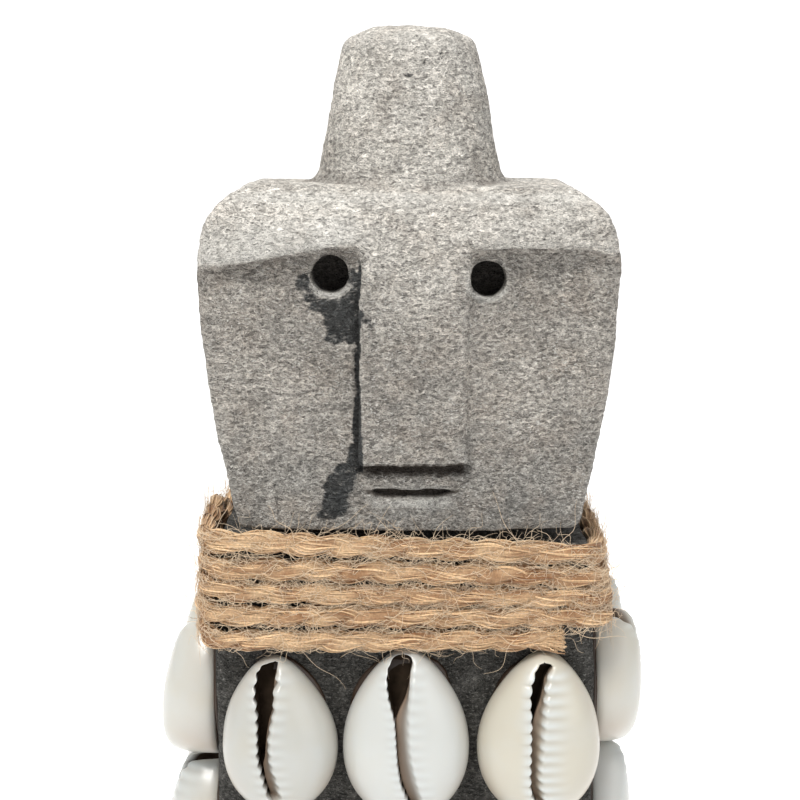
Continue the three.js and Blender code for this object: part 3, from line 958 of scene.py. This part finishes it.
def slit_lines(form, half, seen, z, length, draw):
    """A shell's slit along its length, in mm from the middle: its two lips and its dark part.

    Also gives the line halfway between the lips, where the slit is open and where it is toothed
    (each from 0 to 1), and the teeth of both lips.
    """
    knots = np.array(form["aperture"])
    start, stop = knots[0, 0], knots[-1, 0]
    left, right, dark = (
        softened(np.interp(seen, knots[:, 0], knots[:, k]), len(z) // 40) * half for k in (1, 2, 3)
    )
    inside = smoothstep(start - 0.004, start + 0.012, seen) * smoothstep(stop + 0.02, stop - 0.01, seen)
    middle = (left + right) / 2
    tooth_left = scallop(z, form["left"][0], draw.rand(), form["round"])
    tooth_right = scallop(z, form["right"][0], draw.rand(), 0.3 * form["round"])
    toothed = inside * smoothstep(start + 0.02, start + 0.1, seen)
    sizes = 0.75 + 0.25 * np.interp(z, np.linspace(-length, length, 40), draw.uniform(-1, 1, 40))
    left = left - form["left"][1] * (0.75 - tooth_left) * toothed * sizes
    right = right + form["right"][1] * (0.75 - tooth_right) * toothed
    notch_at, notch = form["notch"]
    right = right + notch * bell(seen - notch_at, 0.022)
    left = middle + (left - middle) * inside - 0.03
    right = middle + (right - middle) * inside + 0.03
    dark = np.clip(dark, left + 0.04, right - 0.02)
    return left, right, dark, middle, inside, toothed, tooth_left, tooth_right


def shell_columns(lean, edge, left, right, dark, inside, fine):
    """Columns across a shell, from its left edge down into the slit and out to its right edge.

    Gives x, the depth below the dome, and how much of each point is the folded inner lip.
    """
    open_part = smoothstep(0.04, 0.5, dark - left)
    near, drop, flat, fold = (24, 5, 3, 7) if fine else (16, 4, 2, 5)
    far = near + (12 if fine else 8)
    columns, depths, folds = [], [], []

    def add(x, depth, fold_value=0.0):
        columns.append(x)
        depths.append(depth * inside)
        folds.append(np.zeros_like(x) + fold_value * inside)

    for t in eased(near)[:-1]:
        x = lean - edge + (left + edge - lean) * t
        away = np.clip((left - x) / LIP_LEFT, 0, 1)
        add(x, LIP_LEFT * (1 - np.sqrt(1 - (1 - away) ** 2)))
    left_floor = FOLD_INNER + (FLOOR_DEPTH - FOLD_INNER) * open_part
    for t in np.linspace(0, 1, drop):
        add(left + 0.02 * t, LIP_LEFT + (left_floor - LIP_LEFT) * t, 0.4 * (1 - open_part) * t)
    for t in np.linspace(0, 1, flat + 2)[1:-1]:
        add(left + (dark - left) * t, left_floor, 1 - open_part)
    for t in np.linspace(0, 1, drop):
        add(dark + 0.02 * t, left_floor + (FOLD_INNER - left_floor) * t, 1 - 0.3 * open_part * (1 - t))
    for t in np.linspace(0, 1, fold + 2)[1:-1]:
        sag = 0.35 * np.sin(np.pi * t)
        add(dark + (right - dark) * t, FOLD_INNER + (FOLD_OUTER - FOLD_INNER) * t + sag, 1 - 0.75 * t**2)
    for t in eased(far):
        x = right + (lean + edge - right) * t
        away = np.clip((x - right) / LIP_RIGHT, 0, 1)
        add(x, FOLD_OUTER * (1 - away) ** 2, 0.25 * (1 - np.clip(away / 0.5, 0, 1)))
    return np.stack(columns, 1), np.stack(depths, 1), np.stack(folds, 1)


def shell_rims(lean, edge, swell, low, z):
    """Both edges of a shell, which are widest a little above the cut back and tuck in below."""
    sides = []
    for sign in (-1, 1):
        rim = []
        for angle in np.linspace(0, np.pi / 2, RIM_COLUMNS + 1)[:-1]:
            inset = TUCK * swell * (1 - np.sin(angle))
            rise = low * (1 - np.cos(angle))
            rim.append(np.stack([lean + sign * (edge - inset), rise, z], -1))
        sides.append(np.stack(rim, 1))
    return sides[0], sides[1][:, ::-1]


def shell_points(size, form, draw, noise, fine, wall):
    """Grid of a shell's outer surface, in mm: x across, y out from its back, z along.

    Also gives the values that colour it: deep (painted shade in the slit), fold, rib (paler teeth with a
    painted highlight), groove (painted shadow between the ribs) and flush.
    """
    width, out, length = size
    rows = 150 if fine else 96
    latitude = np.linspace(0.0, np.pi, rows + 2)[1:-1]
    s = (1 - np.cos(latitude)) / 2
    z = length * (0.5 - s)
    swell = np.sin(latitude) * (1 + SHELL_EGG * (s - 0.5))
    half = width / 2
    edge = half * swell / (1 + 0.045 * SHELL_EGG) * (1 - SHELL_NIP * bell(s, 0.22))
    lean = form["lean"] * half * smoothstep(0.55, 0.0, s)
    crown = np.sin(latitude) ** WALL_FULLNESS[wall] * (1 + WALL_LEAN[wall] * (s - 0.5))
    crown = crown / crown.max() * out
    seen = s + math.tan(SIGHT_DOWN) * crown / length
    left, right, dark, middle, inside, toothed, tooth_left, tooth_right = slit_lines(
        form, half, seen, z, length, draw
    )
    x, depth, folded = shell_columns(lean, edge, left, right, dark, inside, fine)

    across = np.clip((x - lean[:, None]) / edge[:, None], -1, 1)
    arch = np.sqrt(np.clip(1 - np.abs(across) ** 2.6, 0, 1))
    low = 1.5 * swell[:, None]
    y = low + (crown[:, None] - low) * arch
    # Ribs run outwards from both lips.
    side = np.where(x < middle[:, None], left[:, None] - x, x - right[:, None])
    reach = np.where(x < middle[:, None], 1.2, 1.5 + 1.6 * form["ribs"])
    lift = np.where(x < middle[:, None], 0.12, 0.07 + 0.12 * form["ribs"])
    tooth = np.where(x < middle[:, None], tooth_left[:, None], tooth_right[:, None])
    lasting = smoothstep(1.6, 0.2, np.clip(side, 0, 99) / reach) * toothed[:, None]
    y = y + lift * (tooth - 0.6) * lasting * (side > -0.01)
    y = y - depth * np.minimum(1, crown[:, None] / out + 0.2)
    at = np.stack([x, y * 0 + draw.uniform(0, 99), z[:, None] + 0 * x], -1)
    rough = 0.10 * noise(at, 6.0) + 0.05 * noise(at + 7, 2.6)
    y = y + rough * arch * (depth < 0.5)
    y = np.maximum(y, 0.5 * swell[:, None])

    near_rim, far_rim = shell_rims(lean, edge, swell, low[:, 0], z)
    grid = np.stack([x, y, z[:, None] + 0 * x], -1)
    grid = np.concatenate([near_rim, grid, far_rim], 1)
    wide = ((0, 0), (RIM_COLUMNS, RIM_COLUMNS))
    depth = np.pad(depth, wide)
    folded = np.pad(folded, wide)
    ribbed = np.pad(lasting * tooth * (side > -0.01), wide)
    grooved = np.pad(lasting * (1 - tooth) * (side > -0.01), wide)
    low_side = smoothstep(0.55, 1.0, s)[:, None] * smoothstep(0.35, 1.05, np.abs(grid[..., 0]) / half)
    rim_tint = smoothstep(0.75, 1.0, np.abs(grid[..., 0]) / np.maximum(edge, 0.1)[:, None])
    values = {
        # deep: painted shade, darker the deeper the slit goes.
        "deep": smoothstep(0.9, 1.7, depth) * (1 - folded) + smoothstep(2.0, 2.6, depth) * folded,
        "fold": folded,
        # rib: paler teeth with a painted highlight; groove: painted shadow between the ribs.
        "rib": ribbed * (0.35 + 0.5 * form["ribs"]),
        "groove": grooved * (0.12 + 0.22 * form["ribs"]),
        "flush": np.clip(0.75 * low_side + 0.12 * rim_tint, 0, 1),
    }
    return grid, values


def shell_box(node, wall):
    """The middle of a CAD shell's box in metres, and its width, depth and length in mm."""
    low, high = map(np.array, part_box(node))
    wide, deep, long = (high - low) / MM
    if wall not in ("front", "back"):
        wide, deep = deep, wide
    return (low + high) / 2, wide, deep, long


def turned(points, wall):
    """Points laid out for the front wall, turned to face out from another one."""
    turn = math.radians(WALL_TURNS[wall])
    spin = np.array([[math.cos(turn), -math.sin(turn)], [math.sin(turn), math.cos(turn)]])
    return np.column_stack([points[:, :2] @ spin.T, points[:, 2]])


def build_shell(node, wall, form, seed, fine):
    """A shell in place of a CAD one, with the size and place of its box."""
    centre, across, depth, length = shell_box(node, wall)
    lower_right = wall == "right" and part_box(node)[1][2] < SHELL_TOP
    out = depth * (LOWER_RIGHT_REACH if lower_right else 1)
    draw = np.random.RandomState(seed)
    grid, values = shell_points((across, out, length), form, draw, Noise(seed), fine, wall)
    rows, columns = grid.shape[:2]
    # Out from the wall is -Y for the front wall, before the turn.
    flat = grid.reshape(-1, 3)
    local = np.stack([flat[:, 0], depth / 2 - flat[:, 1], flat[:, 2]], -1)
    points = turned(local, wall) * MM + centre
    index = np.arange(rows * columns).reshape(rows, columns)
    quads = np.stack([index[:-1, :-1], index[1:, :-1], index[1:, 1:], index[:-1, 1:]], -1)
    # The cut back joins the two edges of the grid, and the two ends are closed.
    back = np.stack([index[:-1, -1], index[1:, -1], index[1:, 0], index[:-1, 0]], -1)
    quads = np.concatenate([quads.reshape(-1, 4), back])
    ends = [index[0], index[-1][::-1]]
    name = node.replace("cowrie", "shell")
    mesh = mesh_from_faces(name, points, quads, ends)
    shade_smooth(mesh)
    for key, value in values.items():
        add_attribute(mesh, key, value.ravel())
    for key in ("tint", "dim"):
        add_attribute(mesh, key, np.full(rows * columns, form[key]))
    mesh.materials.append(COWRIE)
    mesh.materials.append(COWRIE_SLIT_SHADE)
    # The deepest faces of the slit take the painted-shade material.
    dark = values["deep"].ravel()[quads].mean(1) > 0.8
    inner = np.zeros(len(mesh.polygons), np.int32)
    inner[: len(quads)] = dark
    mesh.polygons.foreach_set("material_index", inner)
    piece = link_object(name, mesh)
    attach(piece, "root")
    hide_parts(node)


def varied_form(draw):
    """A form near one of the three drawn ones, and a little different."""
    form = dict(SHELL_FORMS[draw.randint(len(SHELL_FORMS))])
    knots = np.array(form["aperture"])
    shift = draw.uniform(-0.06, 0.06)
    spread = draw.uniform(0.75, 1.15)
    middle = (knots[:, 1] + knots[:, 2]) / 2
    bend = draw.uniform(-0.08, 0.08) * np.sin(np.pi * knots[:, 0])
    for k in (1, 2, 3):
        knots[:, k] = middle + bend + shift + (knots[:, k] - middle) * spread
    form["aperture"] = tuple(map(tuple, knots))
    form["ribs"] = float(np.clip(form["ribs"] + draw.uniform(-0.3, 0.3), 0.1, 1))
    form["lean"] = draw.uniform(-0.08, 0.08)
    form["tint"] = draw.rand()
    form["dim"] = 0.5 * draw.rand()
    return form


WALL_TURNS = {"front": 0, "right": 90, "back": 180, "left": 270}
WALL_COLUMNS = {"front": 3, "right": 2, "back": 3, "left": 2}
WALL_ROWS = {"front": 4, "right": 5, "back": 4, "left": 5}


def build_shells():
    seed = 100
    for wall, columns in WALL_COLUMNS.items():
        for row in range(1, WALL_ROWS[wall] + 1):
            for column in range(1, columns + 1):
                seed += 1
                hero = wall == "front" and row == 1
                form = SHELL_FORMS[column - 1] if hero else varied_form(np.random.RandomState(seed))
                fine = wall == "front" and row <= 2
                build_shell(f"cowrie_{wall}_{row}_{column}", wall, form, seed, fine)


build_shells()

# ---------------------------------------------------------------- jute twine

TWINE_HEIGHT = 3.0
TWINE_THICKNESS = 2.5
SQUASH = TWINE_THICKNESS / TWINE_HEIGHT
TWINE_PITCH = 3.3
TWINE_QUARTERS = 17
TWINE_STEP = 0.8
TWINE_START_EARLY = 0.55
TWINE_END_SHORT = 0.075
BODY_CORNER = 1.5
LAY = 12.5
PLY_ORBIT = 0.54
PLY_RADIUS = 1.14
CORNER_TUCK = 0.25
SIDE_SLACK = 0.6

# How far each pass over the front lies above or below an even spacing, at its left and right.
PASS_LEFT = (1.4, 0.5, 0.5, 0.0, -0.6)
PASS_RIGHT = (-0.3, -0.6, -0.4, 0.1, -0.1)


def twine_path():
    """Places round the body in mm, and how many quarter turns each lies from the first corner."""
    x_side = ROPE_HIGH[0] / MM - TWINE_THICKNESS / 2 - CORNER_TUCK
    y_side = -ROPE_LOW[1] / MM - TWINE_THICKNESS / 2
    radius = BODY_CORNER + (GAP / MM) + TWINE_THICKNESS / 2 - CORNER_TUCK
    signs = ((-1, -1), (1, -1), (1, 1), (-1, 1))
    places, quarters = [], []
    # Each quarter goes round a corner, and then along a wall, where the twine is a little slack.
    for quarter in range(-1, TWINE_QUARTERS):
        sx, sy = signs[quarter % 4]
        nx, ny = signs[(quarter + 1) % 4]
        cx, cy = sx * (x_side - radius), sy * (y_side - radius)
        ex, ey = nx * (x_side - radius), ny * (y_side - radius)
        first = 1 - TWINE_START_EARLY if quarter < 0 else 0
        last = 1 - TWINE_END_SHORT if quarter == TWINE_QUARTERS - 1 else 1
        for part in np.linspace(0, 1, 9)[:-1] if quarter >= 0 else ():
            angle = math.pi / 2 * (2 + quarter + part)
            places.append((cx + radius * math.cos(angle), cy + radius * math.sin(angle)))
            quarters.append(quarter + 0.75 * part)
        angle = math.pi / 2 * (3 + quarter)
        for part in np.linspace(first, last, 13)[: None if last < 1 else -1]:
            slack = SIDE_SLACK * math.sin(math.pi * part) * (1 if quarter % 2 else 0.4)
            places.append((
                cx + (ex - cx) * part + (radius + slack) * math.cos(angle),
                cy + (ey - cy) * part + (radius + slack) * math.sin(angle),
            ))
            quarters.append(quarter + 0.75 + 0.25 * part)
    return np.array(places), np.array(quarters)


def twine_line():
    """Places along the middle of the twine, evenly spaced, in mm, and the ways out from it."""
    places, quarters = twine_path()
    start = SHELL_TOP / MM + GAP / MM + TWINE_HEIGHT / 2 + TWINE_PITCH * TWINE_QUARTERS / 4
    at = [quarters[0]]
    drift = [0.4]
    for number, (left, right) in enumerate(zip(PASS_LEFT, PASS_RIGHT)):
        first = 0.75 + 4 * number
        at += [first, first + 0.25, first + 2.2]
        drift += [left, right, 0.0]
    waves = 0.28 * wander(np.random.RandomState(8), 1, quarters, 0.11)[0]
    z = start - TWINE_PITCH * quarters / 4 + np.interp(quarters, at, drift) + waves
    line = np.column_stack([places, z])
    line[:, 0] += shoulder_tuck(line)
    length = np.concatenate([[0], np.cumsum(np.linalg.norm(np.diff(line, axis=0), axis=1))])
    along = np.linspace(0, length[-1], int(length[-1] / TWINE_STEP))
    line = np.column_stack([np.interp(along, length, line[:, k]) for k in range(3)])
    line = softened_line(line, 3)
    way = np.gradient(line, axis=0)
    way /= np.linalg.norm(way, axis=1, keepdims=True)
    out = np.cross(way, (0, 0, 1))
    out /= np.linalg.norm(out, axis=1, keepdims=True)
    up = np.cross(out, way)
    return along, line, way, out, up


def softened_line(line, rounds):
    """A line evened out, rounds times over, between ends that stay in place."""
    for _ in range(rounds):
        line = line.copy()
        line[1:-1] = (line[:-2] + 2 * line[1:-1] + line[2:]) / 4
    return line


def tubes(curves, radii, sides, guide):
    """Closed tubes about curves[tube, station], with radii and a guide direction for each."""
    way = np.gradient(curves, axis=1)
    way /= np.maximum(np.linalg.norm(way, axis=2, keepdims=True), 1e-9)
    first = np.cross(way, guide)
    first /= np.maximum(np.linalg.norm(first, axis=2, keepdims=True), 1e-9)
    second = np.cross(way, first)
    turn = 2 * np.pi * np.arange(sides) / sides
    ring = (
        first[:, :, None] * np.cos(turn)[:, None] + second[:, :, None] * np.sin(turn)[:, None]
    )
    points = curves[:, :, None] + ring * radii[:, :, None, None]
    count, stations = curves.shape[:2]
    index = np.arange(count * stations * sides).reshape(count, stations, sides)
    around = np.roll(index, -1, axis=2)
    quads = np.stack([index[:, :-1], around[:, :-1], around[:, 1:], index[:, 1:]], -1)
    caps = [*index[:, 0, ::-1], *index[:, -1]]
    return points.reshape(-1, 3), quads.reshape(-1, 4), caps


def add_tubes(name, curves, radii, sides, guide, tone, material):
    points, quads, caps = tubes(curves, radii, sides, guide)
    mesh = mesh_from_faces(name, points * MM, quads, caps)
    shade_smooth(mesh)
    add_attribute(mesh, "tone", np.repeat(tone.ravel(), sides))
    mesh.materials.append(material)
    piece = link_object(name, mesh)
    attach(piece, "root")
    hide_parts("jute_rope")


def wander(draw, count, along, size):
    """Smooth random curves, about -1 to 1, one for each of count strands."""
    knots = np.arange(along[0], along[-1] + 2 * size, size)
    values = draw.uniform(-1, 1, (count, len(knots)))
    return np.array([softened(np.interp(along, knots, row), 3) for row in values])


def ply_middle(along, line, out, up, ply):
    loosened = 1.5 * wander(np.random.RandomState(3), 1, along, 14.0)[0]
    phase = 2 * np.pi * along / LAY + np.pi * ply + loosened
    return line + PLY_ORBIT * (
        SQUASH * np.cos(phase)[:, None] * out + np.sin(phase)[:, None] * up
    )


def build_twine():
    along, line, way, out, up = twine_line()
    draw = np.random.RandomState(5)
    fibres = 15
    fray = smoothstep(along[-1] - 2.5, along[-1], along)
    for ply in (0, 1):
        middle = ply_middle(along, line, out, up, ply)
        radius = PLY_RADIUS * (1 + 0.16 * wander(draw, 1, along, 6.0)[0])
        for half in (0, 1):
            turn = 2 * np.pi * (np.arange(fibres) + half / 2) / fibres
            angle = turn[:, None] - 2 * np.pi * along / 30 + 0.8 * wander(draw, fibres, along, 6.0)
            reach = radius * (0.94 + 0.22 * wander(draw, fibres, along, 4.0))
            reach = reach * (1 + 0.6 * fray * draw.uniform(0.2, 1, (fibres, 1)))
            curves = middle + reach[..., None] * (
                SQUASH * np.cos(angle)[..., None] * out + np.sin(angle)[..., None] * up
            )
            curves += (fray**2 * draw.uniform(-1.2, 0.8, (fibres, 1)))[..., None] * way
            radii = 0.105 * (1 + 0.45 * wander(draw, fibres, along, 4.0))
            tone = 0.45 + 0.38 * draw.normal(size=(fibres, 1)) + 0.45 * wander(draw, fibres, along, 9.0)
            guide = np.broadcast_to(out, curves.shape)
            name = f"twine_ply_{ply + 1}_{half + 1}"
            add_tubes(name, curves, radii, 4, guide, np.clip(tone, 0, 1), JUTE)
        # What is seen between the outer fibres: a dark core, painted shade for the deep gaps between
        # them.
        keep = along < along[-1] - 1.5
        core = np.clip(radius[None, keep] * 0.93, 0.3, 1.2)
        add_tubes(
            f"twine_core_{ply + 1}", middle[None, keep], core * np.sqrt(SQUASH), 10,
            np.broadcast_to(out[keep], (1, keep.sum(), 3)), np.full((1, keep.sum()), 0.12), JUTE,
        )
    return along, line, way, out, up


def build_hairs(frame_lines, group):
    """Loose fibres: most lie close over the collar and in its gaps, and some stand off from it."""
    along, line, way, out, up = frame_lines
    draw = np.random.RandomState(90 + group)
    count = 1400
    stations = 14
    t = np.linspace(0, 1, stations)
    at = draw.randint(5, len(along) - 8, count)
    in_gap = draw.rand(count) < 0.45
    side_angle = np.where(draw.rand(count) < 0.5, 1.35, -1.35) + draw.normal(0, 0.15, count)
    angle = np.where(in_gap, side_angle, draw.uniform(-1.4, 1.4, count))
    start = line[at] + 1.45 * (
        np.cos(angle)[:, None] * out[at] * SQUASH + np.sin(angle)[:, None] * up[at]
    )
    length = draw.gamma(2.2, 1.2, count) + 1.2
    length = np.clip(np.where(draw.rand(count) < 0.06, 2.2 * length, length), 1.2, 9.0)
    lean = draw.normal(0, 0.6, count)
    sign = np.where(draw.rand(count) < 0.5, -1, 1)
    run = sign[:, None] * np.cos(lean)[:, None] * way[at] + np.sin(lean)[:, None] * up[at]
    bow = draw.normal(0, 0.3, count) * length
    stands_off = draw.rand(count) < 0.3
    rise = np.abs(draw.normal(0, 0.13, count)) * length * stands_off + 0.1
    side = np.cross(run, out[at])
    curl = draw.uniform(0.1, 0.7, count)
    waves = draw.uniform(0.6, 2.2, count)
    phase = draw.uniform(0, 6.3, count)
    swing = np.sin(2 * np.pi * waves[:, None] * t + phase[:, None]) - np.sin(phase[:, None])
    curves = (
        start[:, None]
        + (length[:, None] * t)[..., None] * run[:, None]
        + (bow[:, None] * t**2 + curl[:, None] * swing)[..., None] * side[:, None]
        + (rise[:, None] * np.sin(np.pi * 0.62 * t))[..., None] * out[at][:, None]
    )
    curves = kept_outside(curves)
    radii = draw.uniform(0.025, 0.052, (count, 1)) * (1 - 0.6 * t**2)
    tone = np.repeat(draw.uniform(0.2, 1, (count, 1)), stations, 1)
    guide = np.broadcast_to(draw.normal(size=(count, 1, 3)), curves.shape)
    # Only a few hang down over the shells.
    keep = (curves[..., 2].min(1) > SHELL_TOP / MM - 0.4) | (draw.rand(count) < 0.22)
    name = f"twine_hairs_{group}"
    add_tubes(name, curves[keep], radii[keep], 3, guide[keep], tone[keep], JUTE_HAIR)


def kept_outside(curves):
    """Moves what would run inside the collar's own thickness out to its surface."""
    x_side = ROPE_HIGH[0] / MM
    y_side = -ROPE_LOW[1] / MM
    corner = BODY_CORNER + TWINE_THICKNESS
    tuck = shoulder_tuck(curves.reshape(-1, 3)).reshape(curves.shape[:-1])
    curves = curves.copy()
    curves[..., 0] -= tuck
    away = np.abs(curves[..., :2]) - (np.array([x_side, y_side]) - corner)
    inside = np.maximum(away, 0)
    reach = np.linalg.norm(inside, axis=-1) + np.minimum(away.max(-1), 0)
    short = np.maximum(corner - CORNER_TUCK - 0.15 - reach, 0)
    norm = np.maximum(np.linalg.norm(inside, axis=-1, keepdims=True), 1e-6)
    push = inside / norm * np.sign(curves[..., :2]) * short[..., None]
    near = (reach > 0)[..., None]
    curves[..., :2] += np.where(near, push, 0)
    curves[..., 0] += tuck
    return curves


def build_frayed_end(frame_lines):
    _, line, way, out, up = frame_lines
    draw = np.random.RandomState(21)
    count, stations = 110, 8
    t = np.linspace(0, 1, stations)
    turn = draw.uniform(0, 2 * np.pi, count)
    reach = 1.1 * np.sqrt(draw.rand(count))
    spoke = np.cos(turn)[:, None] * out[-1] * 0.8 + np.sin(turn)[:, None] * up[-1]
    base = line[-1] - 2.0 * way[-1] + reach[:, None] * spoke
    length = draw.uniform(1.2, 2.8, count)
    spread = draw.uniform(0.1, 0.9, count) * reach
    curves = (
        base[:, None]
        + (length[:, None] * t)[..., None] * way[-1]
        + (spread[:, None] * t**2)[..., None] * spoke[:, None]
        + (draw.normal(0, 0.5, count)[:, None] * t**2)[..., None] * up[-1]
    )
    curves = kept_outside(curves)
    radii = draw.uniform(0.05, 0.09, (count, 1)) * (1 - 0.4 * t)
    tone = np.repeat(draw.uniform(0.2, 1, (count, 1)), stations, 1)
    guide = np.broadcast_to(up[-1], curves.shape)
    add_tubes("twine_frayed_end", curves, radii, 4, guide, tone, JUTE)


TWINE = build_twine()
for hair_group in (1, 2, 3, 4):
    build_hairs(TWINE, hair_group)
build_frayed_end(TWINE)

# ---------------------------------------------------------------- glue

GLUE_REACH = 0.9
GLUE_HEIGHT = 0.75
# Rings of a dab of glue: how far out each lies, as a part of the dab, and its height in mm.
GLUE_RINGS = ((0.5, GLUE_HEIGHT), (0.86, GLUE_HEIGHT), (0.97, 0.45 * GLUE_HEIGHT), (1.0, -0.12))


def glue_dab(half, tall, out, ragged, turn):
    """Points of one dab in mm: its middle, then ring after ring, sloping down to the wall."""
    egg = 1 - SHELL_EGG * np.sin(turn) / 2
    dab = [[[0, out - GLUE_HEIGHT, 0]]]
    for ring, rise in GLUE_RINGS:
        x = ring * (half * egg + ragged) * np.cos(turn)
        z = ring * (tall + ragged) * np.sin(turn)
        dab.append(np.stack([x, out - rise + 0 * x, z], -1))
    return np.concatenate(dab)


def build_glue(wall, columns):
    """Dark glue that fills the gap behind each shell of a wall and shows at its edges."""
    around = 40
    turn = 2 * np.pi * np.arange(around) / around
    points, quads, caps = [], [], []
    noise = Noise(300 + WALL_TURNS[wall])
    for row in range(1, WALL_ROWS[wall] + 1):
        for column in range(1, columns + 1):
            centre, wide, deep, long = shell_box(f"cowrie_{wall}_{row}_{column}", wall)
            half = wide / 2 - TUCK
            out = deep / 2 + GAP / MM
            tall = long / 2 - 0.4 * TUCK
            circle = np.stack([np.cos(turn), np.sin(turn), 0 * turn + row + 9 * column], -1)
            ragged = GLUE_REACH * (0.35 + 0.9 * noise(circle * 3, 1.7))
            base = sum(len(p) for p in points)
            index = base + np.arange(len(GLUE_RINGS) * around + 1)
            points.append(turned(glue_dab(half, tall, out, ragged, turn), wall) + centre / MM)
            rim = index[1:].reshape(len(GLUE_RINGS), around)
            after = np.roll(rim, -1, axis=1)
            quads.append(np.stack([rim[:-1], rim[1:], after[1:], after[:-1]], -1).reshape(-1, 4))
            caps += [[index[0], a, b] for a, b in zip(rim[0], after[0])]
            caps.append(rim[-1][::-1])
    mesh = mesh_from_faces(f"glue_{wall}", np.concatenate(points) * MM, np.concatenate(quads), caps)
    shade_smooth(mesh)
    mesh.materials.append(GLUE)
    piece = link_object(f"glue_{wall}", mesh)
    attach(piece, "root")


for wall_name, wall_columns in WALL_COLUMNS.items():
    build_glue(wall_name, wall_columns)

# ---------------------------------------------------------------- stage and light


def make_stage():
    """A pale floor that curves up behind the figure."""
    half, reach, bend, rise = 1.6, 0.9, 0.5, 2.2
    path = [(-1.8, 0.0), (reach, 0.0)]
    for step in range(1, 17):
        angle = math.pi / 2 * step / 16
        path.append((reach + bend * math.sin(angle), bend * (1 - math.cos(angle))))
    path.append((reach + bend, rise))
    grid = np.array([[(x, y, z) for x in np.linspace(-half, half, 9)] for y, z in path])
    mesh = mesh_from_grid("floor", grid)
    shade_smooth(mesh)
    mesh.materials.append(stage_material())
    link_object("floor", mesh)


def area_light(name, place, aim, size, power, colour=(1, 1, 1)):
    data = bpy.data.lights.new(name, "AREA")
    data.shape = "RECTANGLE"
    data.size, data.size_y = size
    data.energy = power
    data.color = colour
    light = bpy.data.objects.new(name, data)
    light.location = place
    way = np.array(aim) - np.array(place)
    flat = math.hypot(way[0], way[1])
    light.rotation_euler = (math.atan2(flat, -way[2]), 0, math.atan2(way[1], way[0]) - math.pi / 2)
    bpy.context.collection.objects.link(light)


def make_lights():
    aim = (0, 0, 0.15)
    area_light("key", (-0.32, -0.52, 1.1), aim, (0.34, 0.34), 9.2, (1.0, 0.985, 0.96))
    area_light("fill", (0.8, -0.7, 0.55), aim, (0.8, 0.8), 2.2, (0.95, 0.97, 1.0))
    area_light("top", (0.0, 0.0, 1.25), aim, (0.7, 0.7), 5.0)
    world = bpy.data.worlds.new("world")
    world.use_nodes = True
    background = world.node_tree.nodes["Background"]
    background.inputs["Color"].default_value = (1, 1, 1, 1)
    background.inputs["Strength"].default_value = 0.42
    bpy.context.scene.world = world
    bpy.context.scene.view_settings.view_transform = "Standard"


make_stage()
make_lights()
